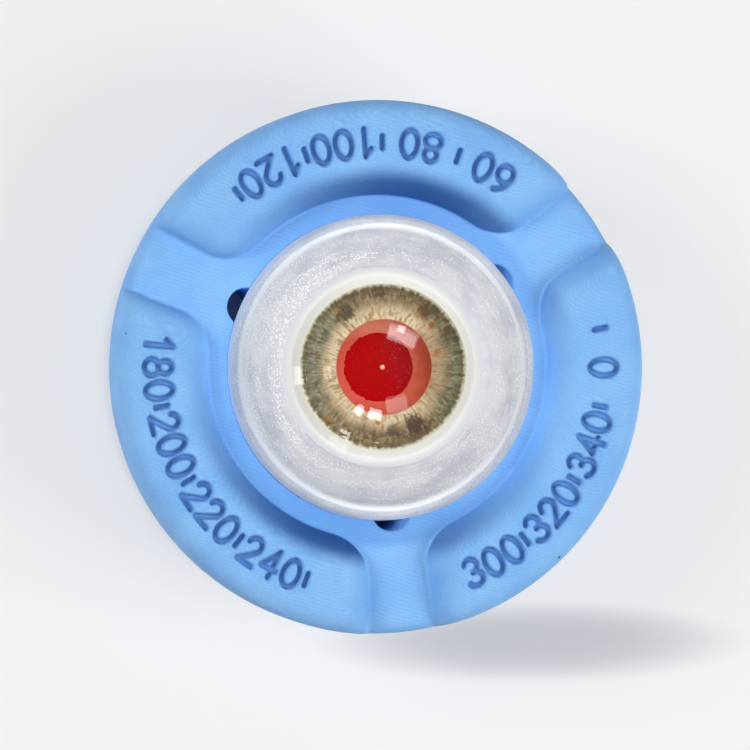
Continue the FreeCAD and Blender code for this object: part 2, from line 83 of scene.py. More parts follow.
print(f"globe centre {globe_centre} mm, leaning {math.degrees(globe_lean):.2f} degrees")

# %% [markdown]
# ## From a grid of points to a skin
#
# Nearly every piece here is round, so nearly every surface is a grid: one way round the axis, the
# other way along a section. Sewing is always the same job. Columns wrap round and meet. Rows either
# wrap too, as on a ring, or run from one point on the axis to another, as on a ball. The volume
# that the faces enclose is added up with its sign, which shows at once whether they look outwards.

# %% Sew a grid into a closed mesh
TINY = 1e-6


def placed(name, data):
    """A new object for a mesh, a lamp or a camera, linked to the scene."""
    thing = bpy.data.objects.new(name, data)
    bpy.context.scene.collection.objects.link(thing)
    return thing


def sewn(name, grid, poles=None):
    """Makes a closed mesh from points laid out as rows by columns.

    Corner (i, j) joins (i + 1, j), (i + 1, j + 1) and (i, j + 1), with columns counted modulo their
    number, and rows too where there are no poles. Two poles close the first and last row with fans.
    """
    rows, columns = grid.shape[:2]
    number = np.arange(rows * columns).reshape(rows, columns)
    beside = np.roll(number, -1, axis=1)
    if poles is None:
        below, below_beside = np.roll(number, -1, axis=0), np.roll(beside, -1, axis=0)
        quads = np.stack([number, below, below_beside, beside], axis=-1).reshape(-1, 4)
        fans = np.empty((0, 3), int)
        points = grid.reshape(-1, 3)
    else:
        quads = np.stack([number[:-1], number[1:], beside[1:], beside[:-1]], axis=-1).reshape(-1, 4)
        first, last = rows * columns, rows * columns + 1
        first_fan = np.stack([np.full(columns, first), number[0], beside[0]], axis=-1)
        last_fan = np.stack([np.full(columns, last), beside[-1], number[-1]], axis=-1)
        fans = np.concatenate([first_fan, last_fan])
        points = np.concatenate([grid.reshape(-1, 3), np.asarray(poles)])
    corners = np.concatenate([quads[:, [0, 1, 2]], quads[:, [0, 2, 3]], fans])
    a, b, c = (points[corners[:, k]] for k in range(3))
    volume = np.einsum("ij,ij->i", a, np.cross(b, c)).sum() / 6
    if volume < 0:
        quads, fans = quads[:, ::-1], fans[:, ::-1]
    mesh = bpy.data.meshes.new(name)
    mesh.from_pydata((points * MM).tolist(), [], quads.tolist() + fans.tolist())
    mesh.shade_smooth()
    print(f"{name}: {len(points)} points, {abs(volume):.1f} cubic mm")
    return placed(name, mesh)


# %% [markdown]
# ## Sections with soft corners
#
# A moulded or turned piece never has a razor edge, and an edge that is a little round is what
# catches the light. So a section is drawn with plain corners, from arcs and points, and then
# averaged along its own length with a bell-shaped weight. Straight runs and large arcs hardly
# change, and corners come out round. The points are then shared out again: close together where
# the section turns, and wide apart where it runs straight.

# %% Arcs, joined sections and the averaging
STEP = 0.01


def bow(x, y, rx, ry, start=0, stop=360, count=28):
    """Part of an ellipse: (x + rx cos a, y + ry sin a), with a going from start to stop degrees."""
    angles = np.radians(np.linspace(start, stop, count))
    return np.stack([x + rx * np.cos(angles), y + ry * np.sin(angles)], axis=-1)


def arc(height, radius, start, stop):
    """Part of a circle about a point on the axis, with a point every half degree."""
    return bow(0, height, radius, radius, start, stop, int(abs(stop - start) * 2) + 2)


def arc_between(height, radius, first_r, last_r, side=1):
    """The same circle from one distance off the axis to another, on its upper or lower side."""
    start = math.degrees(math.acos(min(1.0, first_r / radius))) * side
    stop = math.degrees(math.acos(min(1.0, last_r / radius))) * side
    return arc(height, radius, start, stop)


def joined(*parts):
    """Puts arcs and single (r, z) corners one after another."""
    return np.concatenate([np.atleast_2d(np.asarray(part, float)) for part in parts])


def resampled(points, along, wanted):
    """The points of a path at the wanted places, where `along` is how far each point has come."""
    return np.stack([np.interp(wanted, along, points[:, k]) for k in (0, 1)], axis=-1)


def faired(path, soft, longest, sharpest):
    """Rounds a section's corners over about `soft` mm and shares its points out again.

    Each point becomes the average of its neighbours, weighted by exp(-s^2 / 2 soft^2) with s the
    distance along the section. A new point follows whenever length / longest plus turning /
    sharpest degrees has grown by one. A section that ends on the axis is mirrored there.
    """
    on_axis = path[0, 0] < TINY and path[-1, 0] < TINY
    if not on_axis:
        path = np.concatenate([path, path[:1]])
    along = np.concatenate([[0], np.cumsum(np.hypot(*np.diff(path, axis=0).T))])
    points = resampled(path, along, np.linspace(0, along[-1], int(along[-1] / STEP) + 1))
    reach = int(3 * soft / STEP) + 1
    bell = np.exp(-0.5 * (np.arange(-reach, reach + 1) * STEP / soft) ** 2)
    bell /= bell.sum()
    if on_axis:
        before = points[1:reach + 1][::-1] * [-1, 1]
        after = points[-reach - 1:-1][::-1] * [-1, 1]
        padded = np.concatenate([before, points, after])
    else:
        padded = np.concatenate([points[-reach - 1:-1], points, points[1:reach + 1]])
    points = np.stack([np.convolve(padded[:, k], bell, "valid") for k in (0, 1)], axis=-1)
    steps = np.diff(points, axis=0)
    turning = np.abs(np.diff(np.unwrap(np.arctan2(steps[:, 1], steps[:, 0])), prepend=0))
    turning[0] = 0
    cost = np.hypot(*steps.T) / longest + turning / math.radians(sharpest)
    budget = np.concatenate([[0], np.cumsum(cost)])
    result = resampled(points, budget, np.linspace(0, budget[-1], math.ceil(budget[-1]) + 1))
    return result if on_axis else result[:-1]


def around(section, columns):
    """Turns a section about the axis: x = r cos t, y = r sin t, for evenly spaced angles t."""
    angles = np.arange(columns) * (2 * np.pi / columns)
    r, z = section[:, :1], section[:, 1:]
    return np.stack([r * np.cos(angles), r * np.sin(angles), z + 0 * angles], axis=-1)


def turned(name, section, columns, soft, longest, sharpest=9.0, warp=None):
    """A piece turned about the globe's axis: its section is faired, and its grid may be warped."""
    section = faired(section, soft, longest, sharpest)
    on_axis = section[0, 0] < TINY
    grid = around(section[1:-1] if on_axis else section, columns)
    poles = around(section[[0, -1]], 1)[:, 0] if on_axis else None
    if warp:
        grid = warp(grid)
    return sewn(name, in_globe(grid), in_globe(poles) if on_axis else None)


# %% [markdown]
# ## Materials written as sums
#
# A pattern is arithmetic: how far from the pupil, how near to a seam, one noise plus another. In
# Blender that arithmetic is a net of Math nodes, which is slow to read. A small class wraps one
# output of a node, so that Python's own signs build the net: `1 - mask * 0.5` adds two nodes.
# Colours and vectors go through other nodes, because a Math node would turn them grey.

# %% The wrapped socket
class Wire:
    """One output of a node. Arithmetic on it adds Math nodes to the same tree."""

    def __init__(self, socket):
        self.socket = socket

    def math(self, operation, *values):
        node = self.socket.id_data.nodes.new("ShaderNodeMath")
        node.operation = operation
        for slot, value in zip(node.inputs, values):
            plug(slot, value)
        return Wire(node.outputs[0])

    def __add__(self, other):
        return self.math("ADD", self, other)

    def __sub__(self, other):
        return self.math("SUBTRACT", self, other)

    def __rsub__(self, other):
        return self.math("SUBTRACT", other, self)

    def __mul__(self, other):
        return self.math("MULTIPLY", self, other)

    def __truediv__(self, other):
        return self.math("DIVIDE", self, other)

    def __pow__(self, other):
        return self.math("POWER", self, other)

    def __abs__(self):
        return self.math("ABSOLUTE", self)

    __radd__ = __add__
    __rmul__ = __mul__


def plug(slot, value):
    """Links a wire to an input, or writes a plain value into it."""
    if isinstance(value, Wire):
        slot.id_data.links.new(value.socket, slot)
    else:
        slot.default_value = value


# %% [markdown]
# A finish is a material while it is being made. It has one method for every kind of node, which
# takes the node's type, then its settings, then what its sockets get. Settings come first because
# some of them change which sockets a node has. The shorter methods after it are for the few nodes
# that every finish here uses.

# %% The material under construction
def linear(red, green, blue):
    """A colour as it looks on screen, 0 to 255, as the linear light that a shader works in."""
    shares = np.array([red, green, blue]) / 255
    light = np.where(shares <= 0.04045, shares / 12.92, ((shares + 0.055) / 1.055) ** 2.4)
    return (*light.tolist(), 1.0)


class Finish:
    """A material under construction, with its Principled shader ready."""

    def __init__(self, name, **constants):
        self.material = bpy.data.materials.new(name)
        self.material.use_nodes = True
        self.tree = self.material.node_tree
        self.shader = self.tree.nodes["Principled BSDF"]
        for socket, value in constants.items():
            self.shader.inputs[socket.replace("_", " ")].default_value = value

    def node(self, kind, settings=None, sockets=None, result=0):
        """Adds one node: its settings first, then its sockets by name or identifier."""
        node = self.tree.nodes.new(kind)
        for setting, value in (settings or {}).items():
            setattr(node, setting, value)
        for key, value in (sockets or {}).items():
            slot = next(s for s in node.inputs if key in (s.identifier, s.name) and s.enabled)
            plug(slot, value)
        outputs = [s for s in node.outputs if s.enabled]
        return Wire(outputs[result] if isinstance(result, int) else node.outputs[result])

    def place(self, centre=(0, 0, 0), lean=0.0):
        """Object coordinates in millimetres, seen from a frame at `centre` that leans about Y."""
        return self.node("ShaderNodeMapping", {"vector_type": "TEXTURE"}, {
            "Vector": self.node("ShaderNodeTexCoord", result="Object"),
            "Location": [value * MM for value in centre],
            "Rotation": (0, -lean, 0),
            "Scale": (MM, MM, MM),
        })

    def split(self, vector):
        """The three numbers of a vector, and its distance r from the upright axis."""
        node = self.tree.nodes.new("ShaderNodeSeparateXYZ")
        plug(node.inputs[0], vector)
        x, y, z = (Wire(socket) for socket in node.outputs)
        return x, y, z, (x * x + y * y) ** 0.5

    def vector(self, x, y, z):
        """Three numbers as a vector."""
        return self.node("ShaderNodeCombineXYZ", None, {"X": x, "Y": y, "Z": z})

    def cells(self, vector, scale):
        """Scattered cells: the distance from each one's middle, in shares of its size."""
        return self.node("ShaderNodeTexVoronoi", None, {"Vector": vector, "Scale": scale})

    def luck(self, cells):
        """An even random number from 0 to 1 for each of the cells."""
        colour = Wire(cells.socket.node.outputs["Color"])
        return self.node("ShaderNodeSeparateColor", None, {"Color": colour})

    def noise(self, vector, scale, detail=2.0, roughness=0.5, distortion=0.0):
        """Soft cloudy noise from 0 to 1, mostly near 0.5, with features of about 1 / scale."""
        return self.node("ShaderNodeTexNoise", None, {
            "Vector": vector, "Scale": scale, "Detail": detail,
            "Roughness": roughness, "Distortion": distortion,
        })

    def step(self, value, low, high):
        """Rises smoothly from 0 at `low` to 1 at `high`, and falls where low is the larger."""
        return self.node("ShaderNodeMapRange", {"interpolation_type": "SMOOTHSTEP"}, {
            "Value": value, "From Min": low, "From Max": high,
        })

    def blend(self, first, second, share):
        """One colour over another, by a share from 0 to 1."""
        return self.node("ShaderNodeMix", {"data_type": "RGBA"}, {
            "Factor_Float": share, "A_Color": first, "B_Color": second,
        })

    def coats(self, base, *coats):
        """Coats over a base colour, one after another: each is (red, green, blue) and a share."""
        colour = base if isinstance(base, Wire) else linear(*base)
        for coat, share in coats:
            colour = self.blend(colour, linear(*coat), share)
        return colour

    def bump(self, height, depth):
        """Lets a height, in millimetres times `depth`, tip the surface's normal."""
        return self.node("ShaderNodeBump", None, {"Height": height, "Distance": depth * MM})

    def mixed(self, share, first, second):
        """Two shaders, mixed by a share from 0 to 1."""
        return self.node("ShaderNodeMixShader", None, {
            "Fac": share, "Shader": first, "Shader_001": second})

    def feed(self, **wires):
        """Links wires to the Principled shader's sockets."""
        for socket, wire in wires.items():
            plug(self.shader.inputs[socket.replace("_", " ")], wire)

    def show(self, shader):
        """Makes another shader the material's surface, in place of the Principled one."""
        output = next(node for node in self.tree.nodes if node.type == "OUTPUT_MATERIAL")
        plug(output.inputs["Surface"], shader)

    def wear(self, piece):
        """Puts the finish on a piece as its only material."""
        piece.data.materials.clear()
        piece.data.materials.append(self.material)


def dress(piece, body, slot, finish, *nodes):
    """A finished piece: it rides on a body, stands for its solid, and wears its finish."""
    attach(piece, body)
    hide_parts(*nodes)
    finish.wear(piece)
    print(f"{piece.name} rides on {body} and wears {finish.material.name}, "
          f"{len(finish.tree.nodes)} nodes")


# %% [markdown]
# ## The holder's land, pads and channels
#
# The holder's front face has three levels. A low land runs round the globe, three raised pads carry
# the dial, and between the pads three channels let the land run out to the rim. The pads' walls are
# soft, like something modelled in wax: a tight crease, a short steep stretch, then a broad crest.
# So the face is a height that depends on where one stands: how far inside a pad's edge a point
# lies says how high it is.

# %% Driving sizes of the holder
LAND_HEIGHT = 12.5
PAD_RISE = 2.5
PAD_INNER_RADIUS = 13.6
PAD_CORNER_RADIUS = 2.6
CREASE_RADIUS = 0.3
CREST_RADIUS = 2.6
WALL_ANGLE = 78.0
CHANNEL_ANGLE = 35.5
CHANNEL_COUNT = 3
CHANNEL_HALF_WIDTHS = (2.3, 2.8)
RIM_RADIUS = 21.0
RIM_ROUNDS = (0.9, 1.5)
MOUTH_RADIUS = 12.12


def wall_profile():
    """Depth inside the edge against height: a crease arc, a straight wall and a crest arc."""
    crease = bow(0, CREASE_RADIUS, CREASE_RADIUS, CREASE_RADIUS, -90, WALL_ANGLE - 90, 24)
    crest = bow(0, -CREST_RADIUS, CREST_RADIUS, CREST_RADIUS, WALL_ANGLE + 90, 90, 24)
    climb = PAD_RISE - crease[-1, 1] + crest[0, 1]
    top = crease[-1] + [climb / math.tan(math.radians(WALL_ANGLE)), climb]
    line = np.concatenate([crease, crest - crest[0] + top])
    return line - [crease[-1, 0], 0]


WALL = wall_profile()


def wrapped(angle, period=2 * np.pi):
    """The same direction as an angle between minus and plus half a period, in radians."""
    return (angle + period / 2) % period - period / 2


def channel_offset(angle):
    """The angle to the nearest channel's middle line, with its sign."""
    return wrapped(angle - math.radians(CHANNEL_ANGLE), 2 * np.pi / CHANNEL_COUNT)


def face_height(r, angle):
    """Height of the front face: the land, plus the pad's wall profile at the depth inside the pad.

    The depth is the smaller of the distances from the pad's inner edge and from the channel's side.
    Near the corner between them it is the distance inside a round corner instead.
    """
    inner = r - PAD_INNER_RADIUS
    near, far = CHANNEL_HALF_WIDTHS
    half_width = near + (far - near) * inner / (RIM_RADIUS - PAD_INNER_RADIUS)
    aside = r * np.abs(np.sin(channel_offset(angle))) - half_width
    rounded = PAD_CORNER_RADIUS - np.hypot(
        np.maximum(PAD_CORNER_RADIUS - inner, 0), np.maximum(PAD_CORNER_RADIUS - aside, 0))
    in_corner = (inner < PAD_CORNER_RADIUS) & (aside < PAD_CORNER_RADIUS)
    depth = np.where(in_corner, rounded, np.minimum(inner, aside))
    return LAND_HEIGHT + np.interp(depth, WALL[:, 0], WALL[:, 1])


print(f"a pad's wall is {WALL[-1, 0] - WALL[0, 0]:.2f} mm wide and {PAD_RISE} mm high")

# %% [markdown]
# ## A dial of plain numbers
#
# Each pad is engraved along its middle. Here it carries a plain dial of degrees, counted round the
# eye the way opticians count: a number every twenty degrees, and a short stroke between. A digit is
# a few arcs and lines. The engraving at a point depends only on the distance to the nearest stroke,
# so its walls come out soft and even, with the faint raised lip that resin leaves beside a cut.

# %% Strokes of the digits
DIGIT_WIDTH = 1.28
DIGIT_HEIGHT = 2.15
DIGIT_GAP = 0.52
DIAL_FOOT_RADIUS = 18.72
DIAL_TOP_RADIUS = DIAL_FOOT_RADIUS - DIGIT_HEIGHT
DIAL_MIDDLE_RADIUS = DIAL_FOOT_RADIUS - DIGIT_HEIGHT / 2
STROKE_HALF = 0.2
CUT_DEPTH = 0.5
CUT_SOFT = 0.0423
LIP_RISE = 0.08
LIP_DISTANCE = 0.2
LIP_SPREAD = 0.12
CUT_REACH = 0.6
LABEL_SPACING = 20
LABEL_ROOM = 2.2
TICK_ROOM = 2.4
TICK_LENGTH = 0.95

# A digit's strokes, with x and y in shares of its width and height
DIGITS = {
    "0": [bow(0, 0.5, 0.5, 0.5)],
    "1": [joined((-0.3, 0.74), (0.08, 1), (0.08, 0))],
    "2": [joined(bow(0, 0.72, 0.46, 0.28, 170, -32), (-0.46, 0), (0.48, 0))],
    "3": [bow(0, 0.75, 0.42, 0.25, 155, -90), bow(0, 0.26, 0.48, 0.26, 90, -155)],
    "4": [joined((0.24, 0), (0.24, 1), (-0.48, 0.3), (0.5, 0.3))],
    "6": [bow(0, 0.31, 0.48, 0.31), bow(0.4, 0.31, 0.88, 0.69, 180, 100)],
    "8": [bow(0, 0.75, 0.4, 0.25), bow(0, 0.26, 0.48, 0.26)],
}


def label_strokes(text):
    """All strokes of a number as segments (start, end) in mm, centred, with its foot at 0."""
    segments = []
    for place, digit in enumerate(text):
        middle = (place - (len(text) - 1) / 2) * (DIGIT_WIDTH + DIGIT_GAP)
        for stroke in DIGITS[digit]:
            line = stroke * [DIGIT_WIDTH, DIGIT_HEIGHT] + [middle, 0]
            segments.append(np.concatenate([line[:-1], line[1:]], axis=1))
    return np.concatenate(segments)


def dial_marks():
    """The marks of the dial: (angle in degrees, half width in mm, segments).

    Numbers and strokes take turns every ten degrees, and a mark near a channel is left out.
    """
    marks = []
    for angle in range(0, 360, LABEL_SPACING // 2):
        clear = DIAL_FOOT_RADIUS * abs(math.sin(channel_offset(math.radians(angle))))
        if angle % LABEL_SPACING == 0:
            segments = label_strokes(str(angle))
            half = np.abs(segments[:, 0]).max() + STROKE_HALF
            room = LABEL_ROOM + half
        else:
            middle = DIGIT_HEIGHT / 2
            segments = np.array([[0, middle - TICK_LENGTH / 2, 0, middle + TICK_LENGTH / 2]])
            half = STROKE_HALF
            room = TICK_ROOM
        if clear > CHANNEL_HALF_WIDTHS[1] + room:
            marks.append((angle, half, segments))
    return marks


MARKS = dial_marks()
print("marks on the dial:", [angle for angle, _, _ in MARKS])


def distance_to(segments, u, v):
    """The distance from each point (u, v) to the nearest of the segments."""
    start, run = segments[:, :2], segments[:, 2:] - segments[:, :2]
    from_start = np.stack([u, v], axis=-1)[..., None, :] - start
    share = np.clip((from_start * run).sum(-1) / (run ** 2).sum(-1), 0, 1)
    return np.linalg.norm(from_start - share[..., None] * run, axis=-1).min(-1)


def engraving(r, angle):
    """How far the dial is cut below the face at each point of a grid of rows by columns.

    Along the dial u = t R and inwards v = R_foot - r. At a distance d outside a stroke the cut is
    D (1 - tanh(d / soft)) / 2, less a low lip of H exp(-((d - lip distance) / spread)^2).
    """
    cut = np.zeros(r.shape)
    for degrees, half, segments in MARKS:
        u = wrapped(angle[0] - math.radians(degrees)) * DIAL_MIDDLE_RADIUS
        columns = np.nonzero(np.abs(u) < half + CUT_REACH)[0]
        u = np.broadcast_to(u[columns], (r.shape[0], len(columns)))
        away = distance_to(segments, u, DIAL_FOOT_RADIUS - r[:, columns]) - STROKE_HALF
        inside = 0.5 - 0.5 * np.tanh(away / CUT_SOFT)
        lip = np.exp(-((away - LIP_DISTANCE) / LIP_SPREAD) ** 2)
        cut[:, columns] += CUT_DEPTH * inside - LIP_RISE * lip
    return cut


# %% [markdown]
# ## The holder's skin
#
# The whole holder is one closed grid. Its columns are not evenly spaced: they crowd together where
# a number or a channel's wall needs them, and spread out where the pad is plain. Its rows follow
# the section: across the face, over the rounded rim, down the straight belt, in along the drawn-in
# skirt, across the flat back, and up through the push hole and the socket to the mouth again.

# %% Columns and rows of the holder
ANGLE_SAMPLES = 7201
FINE_SPACING = 0.088
WALL_COLUMN = 0.15
WALL_BAND = (1.4, 5.6)
WIDE_COLUMN = 0.34
WALL_ROW = 0.13
PAD_ROW = 0.25
WIDE_ROW = 0.3
MARK_MARGIN = 0.3
DIAL_MARGIN = 0.35
BELT_FOOT_HEIGHT = 10.2
BACK_RADIUS = 19.3
BACK_ROUND = 1.0
PUSH_HOLE_RADIUS = 4.75
SOCKET_RADIUS = 12.12


def holder_columns():
    """Angles of the columns: the wanted spacing at each degree is turned into an even share."""
    angle = np.linspace(0, 2 * np.pi, ANGLE_SAMPLES)
    aside = np.abs(channel_offset(angle)) * DIAL_MIDDLE_RADIUS
    on_wall = (aside > WALL_BAND[0]) & (aside < WALL_BAND[1])
    spacing = np.where(on_wall, WALL_COLUMN, WIDE_COLUMN)
    for degrees, half, _ in MARKS:
        u = wrapped(angle - math.radians(degrees)) * DIAL_MIDDLE_RADIUS
        spacing = np.where(np.abs(u) < half + MARK_MARGIN, FINE_SPACING, spacing)
    share = np.concatenate([[0], np.cumsum(DIAL_MIDDLE_RADIUS * np.diff(angle) / spacing[1:])])
    count = math.ceil(share[-1])
    return np.interp(np.arange(count) * share[-1] / count, share, angle)


def spread(*stops):
    """Rows of the face from (radius, spacing to the next stop) pairs."""
    rows = []
    for (start, spacing), (stop, _) in zip(stops, stops[1:]):
        count = max(1, round((stop - start) / spacing))
        rows.append(start + np.arange(count) * (stop - start) / count)
    return np.concatenate(rows)


def lower_section():
    """The part of the section that is the same all round, from the belt's foot to the mouth."""
    lean = math.atan2(RIM_RADIUS - BACK_RADIUS, BELT_FOOT_HEIGHT)
    corner = BACK_RADIUS - BACK_ROUND * (1 / math.cos(lean) - math.tan(lean))
    back_edge = bow(corner, BACK_ROUND, BACK_ROUND, BACK_ROUND, -math.degrees(lean), -90, 7)
    height = globe_centre[2]
    hole_top = height - math.sqrt(SOCKET_RADIUS ** 2 - PUSH_HOLE_RADIUS ** 2)
    bowl = bow(0, height, SOCKET_RADIUS, SOCKET_RADIUS,
               -math.degrees(math.acos(PUSH_HOLE_RADIUS / SOCKET_RADIUS)),
               -math.degrees(math.asin((height - LAND_HEIGHT + 0.2) / SOCKET_RADIUS)), 12)
    return joined(
        (RIM_RADIUS, BELT_FOOT_HEIGHT + 0.15), (RIM_RADIUS - 0.03, BELT_FOOT_HEIGHT - 0.15),
        back_edge,
        (PUSH_HOLE_RADIUS + 0.3, 0), (PUSH_HOLE_RADIUS + 0.08, 0.08), (PUSH_HOLE_RADIUS, 0.3),
        (PUSH_HOLE_RADIUS, hole_top - 0.1),
        bowl[1:],
        (MOUTH_RADIUS - 0.15, LAND_HEIGHT - 0.06),
    )


def holder_grid():
    """The holder's grid: rows of the face, of the rim's rounding, and of the lower section."""
    angle = holder_columns()
    face_rows = spread(
        (MOUTH_RADIUS, WIDE_ROW), (PAD_INNER_RADIUS - 0.9, WALL_ROW),
        (PAD_INNER_RADIUS + 1.4, PAD_ROW), (DIAL_TOP_RADIUS - DIAL_MARGIN, FINE_SPACING),
        (DIAL_FOOT_RADIUS + DIAL_MARGIN, WIDE_ROW), (RIM_RADIUS - RIM_ROUNDS[1], WIDE_ROW))
    r, t = np.meshgrid(face_rows, angle, indexing="ij")
    face = np.stack([r, face_height(r, t) - engraving(r, t)], axis=-1)
    rim_height = face_height(RIM_RADIUS, angle)
    rise = (rim_height - LAND_HEIGHT) / PAD_RISE
    rounding = RIM_ROUNDS[0] + (RIM_ROUNDS[1] - RIM_ROUNDS[0]) * rise
    sweep = np.radians(np.linspace(0, 90, 9))[:, None]
    rim = np.stack([RIM_RADIUS - rounding * (1 - np.sin(sweep)),
                    rim_height - rounding * (1 - np.cos(sweep))], axis=-1)
    lower = lower_section()[:, None]
    middle = (rim[-1] + lower[0]) / 2
    lower = np.broadcast_to(lower, (len(lower), len(angle), 2))
    r, z = np.moveaxis(np.concatenate([face, rim, middle[None], lower]), -1, 0)
    return np.stack([r * np.cos(angle), r * np.sin(angle), z], axis=-1)


holder = sewn("blue_holder", holder_grid())

# %% [markdown]
# ## Three drain holes
#
# Where each channel meets the socket, a hole drains the water that is used in practice. A boolean
# takes three turned plugs away from the finished skin. Each plug flares a little at the land, so
# the hole gets the rounded lip that shows as a bright line.

# %% Bore the drain holes
DRAIN_PITCH_RADIUS = 11.45
DRAIN_RADIUS = 1.5
DRAIN_FLARE = 0.22
DRAIN_COLUMNS = 48


def drain_plug(index):
    """A turned plug: a straight bore whose radius grows by a quarter circle near the land."""
    angle = math.radians(CHANNEL_ANGLE + index * 360 / CHANNEL_COUNT)
    wide = DRAIN_RADIUS + DRAIN_FLARE
    flare = bow(wide, LAND_HEIGHT - DRAIN_FLARE, DRAIN_FLARE, DRAIN_FLARE, 180, 90, 6)
    outline = joined((DRAIN_RADIUS, -1), flare, (wide, LAND_HEIGHT + 1))
    centre = np.array([math.cos(angle), math.sin(angle), 0]) * DRAIN_PITCH_RADIUS
    poles = np.array([[0, 0, -1], [0, 0, LAND_HEIGHT + 1]]) + centre
    return sewn(f"drain_plug_{index}", around(outline, DRAIN_COLUMNS) + centre, poles)


def take_away(piece, cutters):
    """Cuts the cutters out of a piece, keeps the result as its mesh, and throws them away."""
    for cutter in cutters:
        cut = piece.modifiers.new(cutter.name, "BOOLEAN")
        cut.operation = "DIFFERENCE"
        cut.solver = "MANIFOLD"
        cut.object = cutter
    evaluated = piece.evaluated_get(bpy.context.evaluated_depsgraph_get())
    piece.data = bpy.data.meshes.new_from_object(evaluated)
    piece.modifiers.clear()
    for cutter in cutters:
        bpy.data.objects.remove(cutter)


take_away(holder, [drain_plug(index) for index in range(CHANNEL_COUNT)])
holder.data.shade_smooth()
holder.data.set_sharp_from_angle(angle=math.radians(50))
print(f"blue_holder after boring: {len(holder.data.polygons)} faces")

# %% [markdown]
# ## Blue resin with its layer lines
#
# The holder was printed in layers a tenth of a millimetre thick, on a slant: the layers cross the
# flat faces at a shallow angle, so there they show as lines three tenths apart, and they bend like
# contour lines on every slope. One slanted coordinate makes them all: its fractional part says
# where in a layer a point is. The colour is nearly plain, with a little cloudiness, dust and darker
# pits. Shade is painted into it as a deeper blue on the floor of the engraving, and on the pads'
# inner walls and the land before them, though not at the left and right, where a wall faces the
# light from the other side.

# %% The holder's finish
CUT_BAND = (DIAL_TOP_RADIUS - 0.5, DIAL_FOOT_RADIUS + 0.5)
CHANNEL_BAND = (5.1, 4.7)
SHADE_TURN = math.radians(14)
LAYER_THICKNESS = 0.1
LAYER_TILT = math.radians(19.5)
LAYER_AZIMUTH = math.radians(72.5)
LAYER_NORMAL = (
    math.sin(LAYER_TILT) * math.cos(LAYER_AZIMUTH),
    math.sin(LAYER_TILT) * math.sin(LAYER_AZIMUTH),
    math.cos(LAYER_TILT),
)

blue = Finish("blue_resin", Specular_IOR_Level=0.3)
spot = blue.place()
cloud = blue.noise(spot, 0.25, detail=5)
drift = blue.noise(spot, 0.5, detail=2) * 1.6
across = blue.node("ShaderNodeVectorMath", {"operation": "DOT_PRODUCT"},
                   {"Vector": spot, "Vector_001": LAYER_NORMAL}) / LAYER_THICKNESS + drift
ridge = across.math("SINE", across * (2 * math.pi))
strength = blue.step(blue.noise(spot, 0.7, detail=3), 0.3, 0.7) * 0.7 + 0.3
grain = blue.noise(spot, 6.0, detail=4, roughness=0.7)
dust_cells = blue.cells(spot, 1.4)
dust = blue.step(dust_cells, 0.05, 0.025) * blue.step(blue.luck(dust_cells), 0.8, 0.82)
pit_cells = blue.cells(spot, 0.35)
pits = blue.step(pit_cells, 0.05, 0.03) * blue.step(blue.luck(pit_cells), 0.78, 0.8)
x, y, z, r = blue.split(spot)
pad_top = LAND_HEIGHT + PAD_RISE
# Painted shade: the floor of the engraving is coloured a deeper blue, though not in the channels
cut_floor_shade = (blue.step(z, pad_top - 0.03, pad_top - CUT_DEPTH * 0.8)
             * blue.step(z, pad_top - CUT_DEPTH - 0.3, pad_top - CUT_DEPTH - 0.05)
             * blue.step(r, CUT_BAND[0], CUT_BAND[0] + 0.2)
             * blue.step(r, CUT_BAND[1], CUT_BAND[1] - 0.2))
for index in range(CHANNEL_COUNT):
    turn = math.radians(CHANNEL_ANGLE + index * 360 / CHANNEL_COUNT)
    along = x * math.cos(turn) + y * math.sin(turn)
    aside = y * math.cos(turn) - x * math.sin(turn)
    far, near = CHANNEL_BAND
    in_channel = blue.step(along, 0, 1) * blue.step(aside * aside, far ** 2, near ** 2)
    cut_floor_shade = cut_floor_shade * (1 - in_channel)
# Painted shade on the pads' inner walls and the land before them, strongest where a wall faces up or
# down
upward = (y * math.cos(SHADE_TURN) + x * math.sin(SHADE_TURN)) / r
facing_away = upward * upward
on_wall = blue.step(z, LAND_HEIGHT + 0.02, LAND_HEIGHT + 0.3)
painted_wall_shade = on_wall * blue.step(r, PAD_INNER_RADIUS + 2.6, PAD_INNER_RADIUS + 0.8)
painted_land_shade = (1 - on_wall) * blue.step(r, PAD_INNER_RADIUS + 1.0, PAD_INNER_RADIUS)
body_colour = blue.coats(
    (132, 190, 250),
    ((148, 203, 255), blue.step(cloud, 0.25, 0.75)),
    ((84, 142, 214), (ridge * strength * 0.5 + 0.5) * 0.24),
    ((96, 152, 220), blue.step(grain, 0.45, 0.7) * 0.25),
    # painted shade: the engraving's floor, then the pads' inner walls and the land before them
    ((52, 104, 176), cut_floor_shade * 0.55),
    ((24, 72, 140), painted_wall_shade * facing_away * 0.92),
    ((84, 142, 214), painted_land_shade * facing_away * 0.55),
    ((200, 226, 250), dust * 0.7),
    ((34, 62, 112), pits * 0.9),
)
relief = ridge * strength + (grain - 0.5) * 3 - pits * 6
blue.feed(Base_Color=body_colour, Roughness=0.5 + grain * 0.16, Normal=blue.bump(relief, 0.008))
dress(holder, "holder", "holder_blue", blue, "holder_disc")

# %% [markdown]
# ## The two frosted shells
#
# The white of the eye is two bowls of frosted resin that meet above the middle: a rear cup with a
# thin lip, and a front shell whose skirt drops over that lip. Their common edge shows as a fine
# bright line just inside the globe's outline, a highlight that is painted into the finish. Both are
# sections drawn from two concentric spheres, an outer one of twelve millimetres and an inner one
# that leaves the wall.

